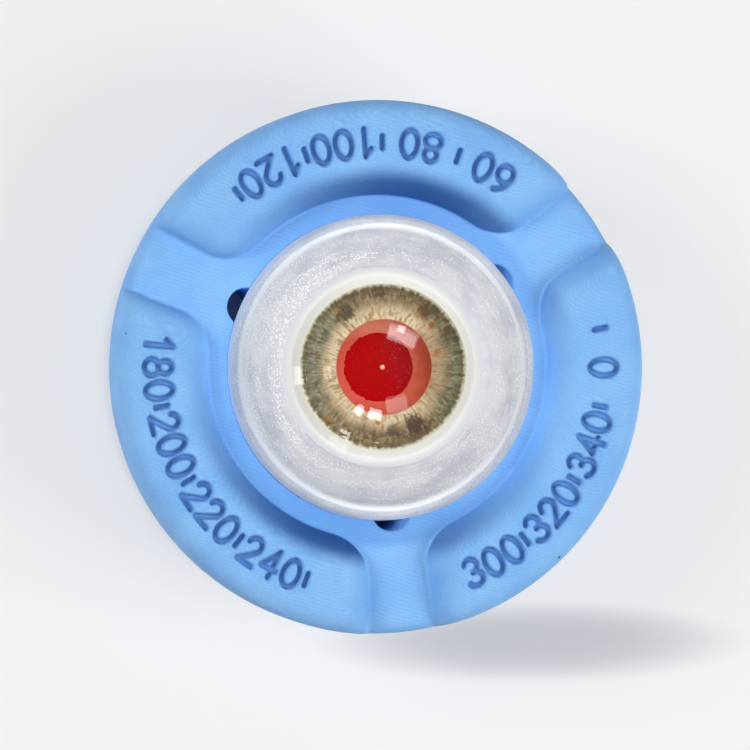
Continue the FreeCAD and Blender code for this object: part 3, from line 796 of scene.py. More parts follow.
# %% Turn the rear cup and the front shell
GLOBE_RADIUS = 12.0
INNER_RADIUS = 10.8
SEAM_HEIGHT = 4.5
LAP_RADIUS = 10.3
LAP_GAP = 0.04
LAP_LENGTH = 1.2
PLUG_BORE_RADIUS = 1.62
BUTTON_HOLE_RADIUS = 7.72
LEDGE_RADIUS = 7.2
LEDGE_HEIGHT = 7.6
LEDGE_DEPTH = 0.6
SEAM_SHADOW = 0.03
GLOBE_COLUMNS = 360


def off_axis(radius, height):
    """How far from the axis a sphere about the globe's centre is, at a height."""
    return math.sqrt(radius ** 2 - height ** 2)


lip_top = SEAM_HEIGHT + LAP_LENGTH - LAP_GAP
rear_section = joined(
    arc_between(0, GLOBE_RADIUS, PLUG_BORE_RADIUS, GLOBE_RADIUS, -1),
    arc_between(0, GLOBE_RADIUS, GLOBE_RADIUS, off_axis(GLOBE_RADIUS, SEAM_HEIGHT - SEAM_SHADOW)),
    (LAP_RADIUS - LAP_GAP, SEAM_HEIGHT - SEAM_SHADOW),
    (LAP_RADIUS - LAP_GAP, lip_top),
    (off_axis(INNER_RADIUS, lip_top), lip_top),
    arc_between(0, INNER_RADIUS, off_axis(INNER_RADIUS, lip_top), INNER_RADIUS),
    arc_between(0, INNER_RADIUS, INNER_RADIUS, PLUG_BORE_RADIUS, -1),
)
front_section = joined(
    (LAP_RADIUS, SEAM_HEIGHT),
    arc_between(0, GLOBE_RADIUS, off_axis(GLOBE_RADIUS, SEAM_HEIGHT), BUTTON_HOLE_RADIUS),
    (BUTTON_HOLE_RADIUS, LEDGE_HEIGHT),
    (LEDGE_RADIUS, LEDGE_HEIGHT),
    (LEDGE_RADIUS, LEDGE_HEIGHT - LEDGE_DEPTH),
    (off_axis(INNER_RADIUS, LEDGE_HEIGHT - LEDGE_DEPTH), LEDGE_HEIGHT - LEDGE_DEPTH),
    arc_between(0, INNER_RADIUS, off_axis(INNER_RADIUS, LEDGE_HEIGHT - LEDGE_DEPTH),
                off_axis(INNER_RADIUS, SEAM_HEIGHT + LAP_LENGTH)),
    (LAP_RADIUS, SEAM_HEIGHT + LAP_LENGTH),
)
rear_cup = turned("frosted_rear_cup", rear_section, GLOBE_COLUMNS,
                  soft=0.035, longest=0.55, sharpest=14)
front_shell = turned("frosted_front_shell", front_section, GLOBE_COLUMNS,
                     soft=0.035, longest=0.4, sharpest=14)

# %% [markdown]
# Frosted resin is pale grey with a breath of lilac. Light that scatters in the wall whitens it
# toward the cornea, faint rings are left from turning, and tiny bright flecks lie in drifts, thick
# on one side and thin on the other. The flecks are the cells of a Voronoi pattern of which only
# some light up, and a slow noise, stretched round the axis, decides where they may. The flecks are
# white and also glow a little, which is painted sparkle, and in a band on the left more flecks glow.
# Painted light also makes the wall's upper and lower edges glow a little, as clear-cast resin does
# where one looks along the wall, and whitens the globe toward its outline. A painted highlight runs
# just in front of the seam, with a greyer band just behind it.

# %% The frosted finish
frosted = Finish("frosted_resin", Specular_IOR_Level=0.4, Emission_Strength=0.5,
                 Subsurface_Weight=0.6, Subsurface_Radius=(1.0, 1.0, 1.0), Subsurface_Scale=0.0022)
spot = frosted.place(globe_centre, globe_lean)
x, y, z, r = frosted.split(spot)
cos_t, sin_t = x / r, y / r
rings = frosted.noise(frosted.vector(cos_t * 1.4, sin_t * 1.4, r * 2.2), 1.0, detail=3)
clouds = frosted.noise(spot, 0.42, detail=4, roughness=0.55)
fine = frosted.noise(spot, 6.0, detail=3, roughness=0.7)
toward_left = (cos_t * -0.94 + sin_t * 0.34) * 0.5 + 0.5
toward_lower_right = (cos_t * 0.6 + sin_t * -0.8) * 0.5 + 0.5
drifts = frosted.noise(frosted.vector(cos_t * 1.6, sin_t * 1.6, r * 1.1), 1.0, detail=5,
                       roughness=0.6)
chance = frosted.step(drifts + toward_left ** 3 * 0.16 + toward_lower_right ** 5 * 0.12,
                      0.5, 0.72)


def sparkle(scale, size, share):
    """Flecks: the middles of those cells whose luck, helped by the drifts, is high enough."""
    cells = frosted.cells(spot, scale)
    return (frosted.step(cells, size, size * 0.5)
            * frosted.step(frosted.luck(cells) + chance * share, 0.93, 0.97))


band = (frosted.step(r, 7.7, 8.1) * frosted.step(r, 10.2, 8.8)
        * frosted.step(toward_left, 0.5, 0.85) * frosted.step(drifts, 0.4, 0.52))
flecks = sparkle(6.5, 0.5, 0.4)
painted_sparkle = sparkle(4.6, 0.45, 0.5) * band
near_cornea = frosted.step(r, 8.5, 7.6) * frosted.step(z, 3.0, 4.0)
# Painted light: the wall glows a little near the globe's upper and lower outline
painted_edge_glow = frosted.step(r, 10.5, 10.95) * frosted.step(r, 12.0, 11.1) * sin_t * sin_t


def line_at(height, half_width):
    """A thin line round the globe at a height above its centre."""
    return frosted.step(abs(z - height), half_width, half_width * 0.3)


shade = frosted.coats(
    (205, 208, 219),
    ((231, 232, 237), frosted.step(clouds * 0.8 + rings * 0.2, 0.36, 0.62)),
    ((246, 247, 249), chance * 0.4),
    ((246, 246, 246), near_cornea * 0.4),
    ((188, 196, 210), line_at(SEAM_HEIGHT - 0.5, 0.5) * 0.4),
    # painted highlight: a bright line just in front of the seam, where the rounded edges meet
    ((255, 255, 255), line_at(SEAM_HEIGHT + 0.35, 0.5) * 0.9),
    # painted light: the globe is whiter toward its outline, as a translucent wall looks there
    ((252, 252, 254), frosted.step(r, 11.55, 12.0) * 0.6),
    ((190, 194, 206), frosted.step(fine, 0.52, 0.72) * 0.4),
    ((255, 255, 255), flecks * 0.9),
)
frosted.feed(
    Base_Color=shade,
    Roughness=0.5 - flecks * 0.25 + clouds * 0.1,
    Normal=frosted.bump(rings * 0.4 + drifts * 0.8 + flecks * 1.5 + fine, 0.012),
    # painted sparkle and painted edge glow: flecks and the wall's upper and lower edges give off
    # light
    Emission_Color=frosted.coats(
        (0, 0, 0), ((255, 255, 255), flecks * 0.35 + painted_sparkle + painted_edge_glow * 0.5)),
)
dress(rear_cup, "rear_globe", "sclera_frosted", frosted, "rear_sclera_cup")
dress(front_shell, "front_shell", "sclera_frosted", frosted, "front_sclera_shell")

# %% [markdown]
# ## Inside the rear cup
#
# Behind the lens lie a red liner for the retina, a clear soft filling for the vitreous body, and at
# the very back an ivory plug that closes the filling port. They show only when the front is lifted
# off, or through the push hole. Each is again a section between spheres.

# %% Turn the liner, the filling and the plug
LINER_OUTER = 10.75
LINER_INNER = 10.0
FILLING_RADIUS = 9.95
FILL_HEIGHT = 3.6
DISH_RADIUS = 5.0
DISH_DEPTH = 0.9
PLUG_RADIUS = 1.6
PLUG_TOP = -10.8
PLUG_REACH = 13.4
INNER_COLUMNS = 180
PLUG_COLUMNS = 72

dish_curve = (DISH_RADIUS ** 2 + DISH_DEPTH ** 2) / (2 * DISH_DEPTH)
liner_section = joined(
    arc_between(0, LINER_OUTER, 0, LINER_OUTER, -1),
    arc_between(0, LINER_OUTER, LINER_OUTER, off_axis(LINER_OUTER, FILL_HEIGHT)),
    arc_between(0, LINER_INNER, off_axis(LINER_INNER, FILL_HEIGHT), LINER_INNER),
    arc_between(0, LINER_INNER, LINER_INNER, 0, -1),
)
filling_section = joined(
    arc_between(0, FILLING_RADIUS, 0, FILLING_RADIUS, -1),
    arc_between(0, FILLING_RADIUS, FILLING_RADIUS, off_axis(FILLING_RADIUS, FILL_HEIGHT)),
    arc_between(FILL_HEIGHT - DISH_DEPTH + dish_curve, dish_curve, DISH_RADIUS, 0, -1),
)
plug_section = joined((0, -PLUG_REACH), (PLUG_RADIUS, -PLUG_REACH), (PLUG_RADIUS, PLUG_TOP),
                      (0, PLUG_TOP))
liner = turned("red_retina_liner", liner_section, INNER_COLUMNS, soft=0.06, longest=0.6)
filling = turned("clear_filling", filling_section, INNER_COLUMNS, soft=0.12, longest=0.6)
port_plug = turned("ivory_port_plug", plug_section, PLUG_COLUMNS, soft=0.16, longest=0.3)

# %% [markdown]
# The liner is dark red with finer and finer branching darker threads, like the back of an eye. The
# filling is a clear gel, so it is mostly see-through with a faint milky skin. Ivory resin, which
# the plug and the lens ring are cast in, is warm and a little mottled.

# %% Finishes of the inner pieces
liner_red = Finish("liner_red", Roughness=0.45, Coat_Weight=0.2)
spot = liner_red.place(globe_centre, globe_lean)
threads = liner_red.noise(spot, 0.28, detail=6, roughness=0.65, distortion=1.2)
vein = liner_red.step(abs(threads - 0.5), 0.03, 0.0)
mottle = liner_red.noise(spot, 0.8, detail=4)
red = liner_red.coats((166, 44, 34),
                      ((196, 74, 50), liner_red.step(mottle, 0.35, 0.65)),
                      ((120, 16, 18), vein * 0.8))
liner_red.feed(Base_Color=red, Normal=liner_red.bump(mottle - vein * 0.4, 0.03))
dress(liner, "rear_globe", "liner_red", liner_red, "retina_cup")

ivory = Finish("ivory_resin")
spot = ivory.place(globe_centre, globe_lean)
mottle = ivory.noise(spot, 1.6, detail=4)
ivory.feed(Base_Color=ivory.coats((226, 218, 198), ((240, 235, 220), mottle)),
           Roughness=0.4 + mottle * 0.2, Normal=ivory.bump(ivory.noise(spot, 7.0, 4), 0.01))
dress(port_plug, "rear_globe", "plug_ivory", ivory, "rear_plug")


def clear_finish(name, tint, veil, ior, roughness):
    """Glass or gel that doesn't bend light: see-through, with a gloss and a thin veil.

    The gloss share is F + (1 - F) f^5, where f grows from 0, seen straight on, to 1 at the edge,
    and F = ((ior - 1) / (ior + 1))^2. Both sides of a wall mirror alike. The veil is a share of
    pale diffuse colour that changes a little with slow noise, as in a gel with a skin.
    """
    clear = Finish(name, Base_Color=tint, Roughness=roughness, IOR=ior)
    through = clear.node("ShaderNodeBsdfTransparent", None, {"Color": (1.0, 1.0, 1.0, 1.0)})
    gloss = clear.node("ShaderNodeBsdfGlossy", None, {"Roughness": roughness})
    facing = clear.node("ShaderNodeLayerWeight", None, {"Blend": 0.5}, result="Facing")
    straight_on = ((ior - 1) / (ior + 1)) ** 2
    mirror = facing ** 5 * (1 - straight_on) + straight_on
    haze = clear.noise(clear.place(globe_centre, globe_lean), 0.7, detail=3)
    body = clear.mixed(haze * veil, through, Wire(clear.shader.outputs[0]))
    clear.show(clear.mixed(mirror, body, gloss))
    return clear


filling_clear = clear_finish("clear_gel", linear(235, 222, 214), 0.25, 1.34, 0.12)
dress(filling, "rear_globe", "filling_clear", filling_clear, "vitreous_body")

# %% [markdown]
# ## The lens, its bag and the ring that carries them
#
# The lens is a red bean of two spherical caps, turned on a lathe: it keeps fine circular tool marks
# and a tiny pip at the centre. A salmon film wraps it, and the front of the film has been torn open
# in a circle that sits a little off centre, with a ragged edge. The film's flange rests on the
# collar of an ivory ring.

# %% Turn the lens, the film and the ring
LENS_FRONT_CURVE = 10.5
LENS_FRONT_HEIGHT = 7.5
LENS_BACK_CURVE = 6.3
LENS_BACK_HEIGHT = 3.9
PIP_RADIUS = 0.17
PIP_HEIGHT = 0.08
FILM_GAP = 0.02
FILM_WALL = 0.25
OPENING_RADIUS = 2.65
OPENING_OFFSET = 0.32
OPENING_RAG = 0.05
TEAR_REACH = 1.5
FLANGE_RADIUS = 6.1
FLANGE_FOOT = 6.1
FLANGE_TOP = 6.4
RING_INNER = 5.45
RING_OUTER = 8.95
RING_TOP = 4.4
lens_front_centre = LENS_FRONT_HEIGHT - LENS_FRONT_CURVE
lens_back_centre = LENS_BACK_HEIGHT + LENS_BACK_CURVE


def lens_shell(extra):
    """The lens's front and back spheres, grown by `extra`, and how far off the axis they meet.

    Between centres a distance d apart, the plane in which spheres F and B cross lies
    (d^2 + F^2 - B^2) / 2d from the centre of F.
    """
    front, back = LENS_FRONT_CURVE + extra, LENS_BACK_CURVE + extra
    apart = lens_back_centre - lens_front_centre
    return front, back, off_axis(front, (apart ** 2 + front ** 2 - back ** 2) / (2 * apart))


front, back, rim = lens_shell(0)
lens_section = joined(
    arc_between(lens_back_centre, back, 0, rim, -1),
    arc_between(lens_front_centre, front, rim, PIP_RADIUS),
    (PIP_RADIUS * 0.7, LENS_FRONT_HEIGHT + PIP_HEIGHT), (0, LENS_FRONT_HEIGHT + PIP_HEIGHT),
)
outer_front, outer_back, _ = lens_shell(FILM_GAP + FILM_WALL)
inner_front, inner_back, inner_rim = lens_shell(FILM_GAP)
foot_radius = off_axis(outer_back, lens_back_centre - FLANGE_FOOT)
top_radius = off_axis(outer_front, FLANGE_TOP - lens_front_centre)
film_section = joined(
    arc_between(lens_back_centre, outer_back, 0, foot_radius, -1),
    (FLANGE_RADIUS, FLANGE_FOOT), (FLANGE_RADIUS, FLANGE_TOP),
    arc_between(lens_front_centre, outer_front, top_radius, OPENING_RADIUS),
    arc_between(lens_front_centre, inner_front, OPENING_RADIUS, inner_rim),
    arc_between(lens_back_centre, inner_back, inner_rim, 0, -1),
)
ring_section = joined(
    (RING_INNER, FILL_HEIGHT), (RING_OUTER, FILL_HEIGHT), (RING_OUTER, RING_TOP),
    (FLANGE_RADIUS, RING_TOP), (FLANGE_RADIUS, FLANGE_FOOT), (RING_INNER, FLANGE_FOOT),
)


def torn_open(grid):
    """Moves the film's opening off centre and makes its edge ragged.

    Above the lens's middle, a point near the opening slides along x by the offset, and outwards by
    a sum of cosines of its angle. Both fade out over TEAR_REACH, and the height follows the sphere,
    so that the film keeps lying on the lens.
    """
    x, y, z = np.moveaxis(grid, -1, 0)
    r, t = np.hypot(x, y), np.arctan2(y, x)
    near = np.clip(1 - (r - OPENING_RADIUS) / TEAR_REACH, 0, 1) ** 2 * (z > FLANGE_TOP + 0.2)
    ragged = 0.6 * np.cos(11 * t + 1.0) + 0.5 * np.cos(23 * t + 0.4) + 0.6 * np.cos(37 * t + 2.0)
    tear = OPENING_RAG * ragged * (0.35 + 0.65 * (np.cos(t) < -0.2))
    scale = (r + near * tear) / r
    x_new, y_new = x * scale - OPENING_OFFSET * near, y * scale
    curve = np.sqrt(r ** 2 + (z - lens_front_centre) ** 2)
    on_sphere = lens_front_centre + np.sqrt(curve ** 2 - x_new ** 2 - y_new ** 2)
    return np.stack([x_new, y_new, np.where(near > 0, on_sphere, z)], axis=-1)


lens = turned("red_lens", lens_section, INNER_COLUMNS, soft=0.03, longest=0.22)
film = turned("salmon_film", film_section, GLOBE_COLUMNS,
              soft=0.03, longest=0.2, warp=torn_open)
lens_ring = turned("ivory_lens_ring", ring_section, INNER_COLUMNS, soft=0.08, longest=0.4)
dress(lens_ring, "lens_carrier", "ring_ivory", ivory, "ciliary_ring")

# %% [markdown]
# The lens is a deep red with little gloss. Its tool marks are circles about the axis, so they depend
# only on the distance from it, broken up by noise. The film is matt salmon, a little browner to one
# side, and paler toward the top, where a reflection of the wedge glint is painted into it. A real
# dome bends light into the pupil. This one lets it straight through, so both finishes give off a
# little light of their own colour, which fills the shade under the iris.

# %% Red lens and salmon film
deep_red = Finish("deep_red_resin", Specular_IOR_Level=0.08, Emission_Strength=0.07)
spot = deep_red.place(globe_centre, globe_lean)
x, y, _, r = deep_red.split(spot)
marks = deep_red.noise(deep_red.vector(0.0, 0.0, r * 7.0), 1.0, detail=4, roughness=0.7)
broken = deep_red.noise(spot, 2.2, detail=3)
scratch = deep_red.step(marks * 0.7 + broken * 0.3, 0.55, 0.61)
cells = deep_red.cells(spot, 6.5)
fleck = deep_red.step(cells, 0.3, 0.12) * deep_red.step(deep_red.luck(cells), 0.62, 0.68)
one_side = deep_red.step(x * 0.9 + y * 0.2 + broken * 1.2 - 0.6, -0.2, 1.6)
pip = deep_red.step(r, PIP_RADIUS + 0.05, PIP_RADIUS - 0.05)
tone = deep_red.coats(
    (186, 0, 2),
    ((170, 10, 18), one_side),
    ((226, 74, 70), scratch * (one_side * 0.35 + 0.08)),
    ((232, 120, 112), fleck * (one_side * 0.7 + 0.2)),
    ((255, 214, 204), pip),
)
deep_red.feed(Base_Color=tone, Roughness=0.3 + scratch * 0.25, Emission_Color=tone,
              Normal=deep_red.bump(marks + broken * 0.3, 0.012))
dress(lens, "lens_carrier", "lens_red", deep_red, "lens_core")

salmon = Finish("salmon_film", Specular_IOR_Level=0.25, Emission_Strength=0.14)
spot = salmon.place(globe_centre, globe_lean)
x, y, _, _ = salmon.split(spot)
mottle = salmon.noise(spot, 1.1, detail=4)
skin = salmon.coats(
    (218, 96, 78),
    ((202, 92, 64), salmon.step(x * 0.5 + mottle * 0.8 - 0.4, -0.6, 1.9)),
    ((230, 118, 96), salmon.step(mottle, 0.4, 0.75) * 0.4),
    # painted reflection: the film is paler toward the top, under the wedge glint
    ((236, 158, 132), salmon.step(y, 1.8, 3.3) * 0.6),
)
salmon.feed(Base_Color=skin, Roughness=0.5 + mottle * 0.2, Emission_Color=skin,
            Normal=salmon.bump(salmon.noise(spot, 5.0, 4), 0.012))
dress(film, "lens_carrier", "capsule_film", salmon, "lens_capsule")

# %% [markdown]
# ## The cornea button
#
# The front of the eye lifts off as one button: a clear dome with a flange, a white ring glued under
# the flange, and the printed iris in the ring's recess. The dome is more strongly curved than the
# globe, and where the two meet the surface is hollow. Toward its edge the flange thins out and the
# white ring rises with it, so that the white fades into the frosted shell without a step.

# %% Turn the white ring and the clear dome
DOME_CURVE = 8.0
DOME_EDGE_RADIUS = 5.9
CORNEA_WALL = 0.55
BUTTON_RADIUS = 7.715
BUTTON_COLUMNS = 240
TAPER_RADIUS = 7.0
EDGE_CURVE = 11.96
RING_TOP_CURVE = 11.42
WHITE_RING_INNER = 6.37
IRIS_SEAT_RADIUS = 6.9
IRIS_SEAT_HEIGHT = 8.72

dome_centre = off_axis(GLOBE_RADIUS, DOME_EDGE_RADIUS) - off_axis(DOME_CURVE, DOME_EDGE_RADIUS)
inner_dome, inner_flange = DOME_CURVE - CORNEA_WALL, GLOBE_RADIUS - CORNEA_WALL
hollow_height = (inner_flange ** 2 - inner_dome ** 2 + dome_centre ** 2) / (2 * dome_centre)
hollow_radius = off_axis(inner_flange, hollow_height)
white_section = joined(
    (IRIS_SEAT_RADIUS, LEDGE_HEIGHT), (BUTTON_RADIUS, LEDGE_HEIGHT),
    (BUTTON_RADIUS, off_axis(EDGE_CURVE, BUTTON_RADIUS)),
    arc_between(0, RING_TOP_CURVE, TAPER_RADIUS, WHITE_RING_INNER),
    (WHITE_RING_INNER, IRIS_SEAT_HEIGHT), (IRIS_SEAT_RADIUS, IRIS_SEAT_HEIGHT),
)
cornea_section = joined(
    arc_between(dome_centre, DOME_CURVE, 0, DOME_EDGE_RADIUS),
    arc_between(0, GLOBE_RADIUS, DOME_EDGE_RADIUS, BUTTON_RADIUS),
    arc_between(0, inner_flange, TAPER_RADIUS, hollow_radius),
    arc_between(dome_centre, inner_dome, hollow_radius, 0),
)
white_ring = turned("white_limbus_ring", white_section, BUTTON_COLUMNS, soft=0.04, longest=0.25)
cornea = turned("clear_cornea", cornea_section, BUTTON_COLUMNS, soft=0.05, longest=0.3, sharpest=5)

# Painted light: the ring gives off a little light of its own colour, lifting the shade under the
# flange
limbus = Finish("limbus_white", Emission_Strength=0.08)
spot = limbus.place(globe_centre, globe_lean)
x, _, _, r = limbus.split(spot)
mottle = limbus.noise(spot, 1.3, detail=4)
inner_edge = limbus.step(r + mottle * 0.2, WHITE_RING_INNER + 0.4, WHITE_RING_INNER + 0.05)
white = limbus.coats(
    (238, 238, 233),
    ((247, 247, 243), mottle),
    # painted shade: the ring is darker toward its left and right sides
    ((206, 204, 199), (x / r) ** 2.0 * 0.5),
    ((238, 236, 214), inner_edge * 0.7),
    ((216, 219, 227), limbus.step(r, 7.05, 7.6) * 0.9),
)
limbus.feed(Base_Color=white, Roughness=0.4 + mottle * 0.2, Emission_Color=white,
            Normal=limbus.bump(limbus.noise(spot, 4.0, 3), 0.008))
dress(white_ring, "cornea_button", "limbus_white", limbus, "limbus_ring")
cornea_clear = clear_finish("clear_cornea", linear(245, 247, 250), 0.003, 1.49, 0.02)
dress(cornea, "cornea_button", "cornea_clear", cornea_clear, "cornea_cap")

# %% [markdown]
# ## The iris
#
# The iris is a thin dished disc with a hole for the pupil. Its fibres run out from the pupil, so a
# real one is ridged like pleated cloth. Here a sum of waves round the axis, with seeded phases,
# raises the ridges, and they grow and fade between the pupil and the rim.

# %% Turn the iris and raise its fibres
PUPIL_RADIUS = 3.64
IRIS_FLAT_RADIUS = 6.14
IRIS_RADIUS = 6.65
IRIS_FLAT_HEIGHT = 8.69
IRIS_PUPIL_HEIGHT = 8.84
IRIS_THICKNESS = 0.35
IRIS_OFFSET = 0.1
IRIS_COLUMNS = 720
FIBRE_RELIEF = 0.022
draw = np.random.default_rng(7)


def fibres(r, t):
    """Ridges along the radius: sum of cos(n t + phase + bend sin(r / length)) over many n."""
    height = np.zeros(r.shape)
    for count in draw.integers(28, 150, 14):
        phase, bend = draw.uniform(0, 2 * np.pi), draw.uniform(0.3, 1.4)
        length = draw.uniform(0.5, 1.2)
        height += np.cos(count * t + phase + bend * np.sin(r / length))
    return height / 4


def pleated(grid):
    """Raises the fibres on the iris's upper side and moves the disc off centre."""
    x, y, z = np.moveaxis(grid, -1, 0)
    r, t = np.hypot(x, y), np.arctan2(y, x)
    share = np.clip((r - PUPIL_RADIUS - 0.03) / (WHITE_RING_INNER - PUPIL_RADIUS), 0, 1)
    upper = np.clip((z - IRIS_FLAT_HEIGHT + 0.06) / 0.05, 0, 1)
    height = FIBRE_RELIEF * fibres(r, t) * np.sin(np.pi * share) ** 0.6
    return np.stack([x + IRIS_OFFSET, y, z + height * upper], axis=-1)


iris_top = joined((PUPIL_RADIUS, IRIS_PUPIL_HEIGHT), (IRIS_FLAT_RADIUS, IRIS_FLAT_HEIGHT),
                  (IRIS_RADIUS, IRIS_FLAT_HEIGHT))
iris_section = joined(iris_top - [0, IRIS_THICKNESS], iris_top[::-1])
iris = turned("printed_iris", iris_section, IRIS_COLUMNS, soft=0.03, longest=0.14, warp=pleated)

# %% [markdown]
# The colours of an iris are laid out in zones. A cream collar with rays surrounds the pupil.
# Outside it lie olive and grey-green fibres, brown freckles and a few amber ones, and at the rim
# everything fades into the white of the ring. All of it is noise in bent coordinates: where the
# noise is read at (k cos t, k sin t, m r) with a large k and a small m, it turns into rays.

# %% Iris colours
# Painted light: the print gives off a little light of its own colour
printed = Finish("iris_print", Specular_IOR_Level=0.3, Emission_Strength=0.06)
spot = printed.place(in_globe(np.array([IRIS_OFFSET, 0, 0])), globe_lean)
x, y, _, r = printed.split(spot)
cos_t, sin_t = x / r, y / r
from_axis = printed.split(printed.place(globe_centre, globe_lean))[3]


def rays(fine, along, detail=4.0, roughness=0.6):
    """Noise stretched along the radius: `fine` sets how thin the rays are."""
    return printed.noise(printed.vector(cos_t * fine, sin_t * fine, r * along), 1.0, detail,
                         roughness)


thin_rays = rays(21, 1.5)
wide_rays = rays(6, 0.7)
slow = printed.noise(spot, 0.5, detail=3)
crumble = printed.noise(spot, 3.4, detail=5, roughness=0.7)
blotches = printed.noise(spot, 1.3, detail=4, roughness=0.65)
streaks = thin_rays * 0.55 + crumble * 0.45

pale_streaks = printed.step(streaks, 0.41, 0.61)
warm = printed.coats((106, 92, 62), ((182, 160, 124), pale_streaks))
cool = printed.coats((96, 96, 70), ((164, 162, 130), pale_streaks))
outer = printed.coats(
    printed.blend(warm, cool, printed.step(cos_t * cos_t * 0.8 + slow * 0.6, 0.5, 1.0)),
    ((112, 84, 56), printed.step(blotches, 0.52, 0.64) * 0.6),
    ((78, 74, 50), printed.step(wide_rays * 0.5 + crumble * 0.5, 0.51, 0.64) * 0.65),
)
collar = printed.coats(
    (184, 150, 104),
    ((242, 224, 188),
     printed.step(wide_rays * 0.3 + thin_rays * 0.5 + crumble * 0.2, 0.4, 0.58)),
    ((176, 128, 76), printed.step(blotches, 0.56, 0.68) * 0.5),
    ((160, 126, 84), printed.step(cos_t + blotches * 0.3, 0.75, 1.1) * 0.65),
)
collar_reach = (r + (wide_rays - 0.5) * 1.6 + (thin_rays - 0.5) * 1.8
                + (crumble - 0.5) * 0.8)
print_colour = printed.blend(outer, collar, printed.step(collar_reach, 5.35, 4.25))

# Freckles: angle, distance from the middle, half width, half length, colour and share
BROWN = (104, 76, 48)
DARK_BROWN = (84, 66, 50)
AMBER = (190, 128, 52)
FRECKLES = [
    (126, 5.10, 0.85, 0.75, DARK_BROWN, 0.85), (94, 5.85, 0.45, 0.45, BROWN, 0.7),
    (54, 5.40, 0.60, 0.55, BROWN, 0.8), (30, 5.35, 0.55, 0.50, BROWN, 0.6),
    (-62, 5.00, 0.75, 0.85, DARK_BROWN, 0.9), (-82, 5.00, 0.50, 0.60, DARK_BROWN, 0.7),
    (205, 5.80, 0.40, 0.35, BROWN, 0.5), (171, 5.20, 0.30, 0.35, BROWN, 0.5),
    (131, 5.65, 0.25, 0.20, AMBER, 0.8), (223, 5.75, 0.30, 0.22, AMBER, 0.9),
    (263, 4.28, 0.22, 0.20, AMBER, 0.9), (-47, 5.90, 0.20, 0.16, AMBER, 0.8),
    (42, 4.85, 0.30, 0.28, (150, 96, 40), 0.9), (43, 5.90, 0.20, 0.20, AMBER, 0.7),
    (16, 4.32, 0.26, 0.30, (176, 112, 54), 0.8), (102, 4.18, 0.20, 0.18, AMBER, 0.6),
    (58, 4.75, 0.25, 0.22, AMBER, 0.7), (-5, 5.95, 0.18, 0.30, (120, 78, 50), 0.6),
]
for degrees, radius, half_across, half_along, colour, share in FRECKLES:
    c, s = math.cos(math.radians(degrees)), math.sin(math.radians(degrees))
    dx, dy = x - radius * c, y - radius * s
    outwards, sideways = (dx * c + dy * s) / half_along, (dy * c - dx * s) / half_across
    oval = (outwards * outwards + sideways * sideways
            + (crumble - 0.5) * 3.0 + (thin_rays - 0.5) * 2.0)
    print_colour = printed.coats(print_colour, (colour, printed.step(oval, 1.5, 0.2) * share))

ragged_edge = from_axis + (thin_rays - 0.5) * 0.5 + (crumble - 0.5) * 0.3
print_colour = printed.coats(
    print_colour,
    ((108, 100, 68), printed.step(ragged_edge, 5.4, 6.05) * 0.4),
    ((240, 238, 216), printed.step(ragged_edge, 6.1, 6.42)),
    ((226, 128, 96), printed.step(r, PUPIL_RADIUS + 0.1, PUPIL_RADIUS + 0.03) * 0.8),
)
printed.feed(Base_Color=print_colour, Roughness=0.45 + crumble * 0.2, Emission_Color=print_colour,
             Normal=printed.bump(thin_rays + crumble * 0.5, 0.05))
dress(iris, "cornea_button", "iris_print", printed, "iris_disc")

# %% [markdown]
# ## Light, floor and camera
#
# The set is plain: a pale floor and large soft lamps. The lamps come in two kinds. Those of the
# first light only matt surfaces. Those of the second, the glints, are seen only in reflections,
# because the clear dome mirrors every lamp as a shape: a bright wedge, two windows, a faint patch.
# So the shading and the highlights can be set one by one.
#
# The real globe is translucent: it gathers the light of a lamp at its side onto the pads behind it,
# and carries light round to its own shaded side. Light linking stands in for that. The low lamps at
# the left and right reach the holder, two higher ones reach the eye, and only the holder blocks
# them. The eye has one more above it, and another below it for nothing but the white pieces. The
# camera looks almost along the globe's axis from some way off, turned one degree past it. Under
# such even light the holder's own shadow is faint, so a soft shadow below it is painted into the
# floor's colour.

# %% Lamps
# Name, direction, distance, size, share of the level light, and which pieces it reaches
LAMPS = [
    ("front", (0.0, 0.0, 1.0), 0.6, 0.45, 0.20, None),
    ("right", (0.72, -0.25, 0.64), 0.3, 0.16, 0.41, "holder"),
    ("left", (-0.753, 0.202, 0.63), 0.4, 0.18, 0.35, "holder"),
    ("eye_right", (0.66, 0.0, 0.75), 0.3, 0.16, 0.19, "eye"),
    ("eye_left", (-0.70, 0.0, 0.72), 0.4, 0.22, 0.26, "eye"),
    ("eye_above", (0.05, 0.72, 0.68), 0.4, 0.25, 0.26, "eye"),
    ("eye_below", (0.0, -0.72, 0.69), 0.4, 0.25, 0.18, "white"),
]
GLINT_REACH = 0.6
AMBIENT = 0.08
# Name, direction, width and height, and brightness
GLINTS = [
    ("wedge", (0.258, 0.569, 0.781), (0.34, 0.18), 5.0),
    ("wedge_core", (0.243, 0.677, 0.695), (0.08, 0.055), 12.0),
    ("window_left", (-0.472, -0.738, 0.481), (0.085, 0.10), 15.0),
    ("window_right", (-0.203, -0.819, 0.537), (0.14, 0.10), 15.0),
    ("lower_patch", (0.160, -0.682, 0.713), (0.24, 0.22), 2.4),
    ("low_left", (-0.49, -0.81, 0.27), (0.14, 0.08), 1.8),
    ("left_bar", (-0.96, -0.09, 0.27), (0.12, 0.05), 6.0),
]


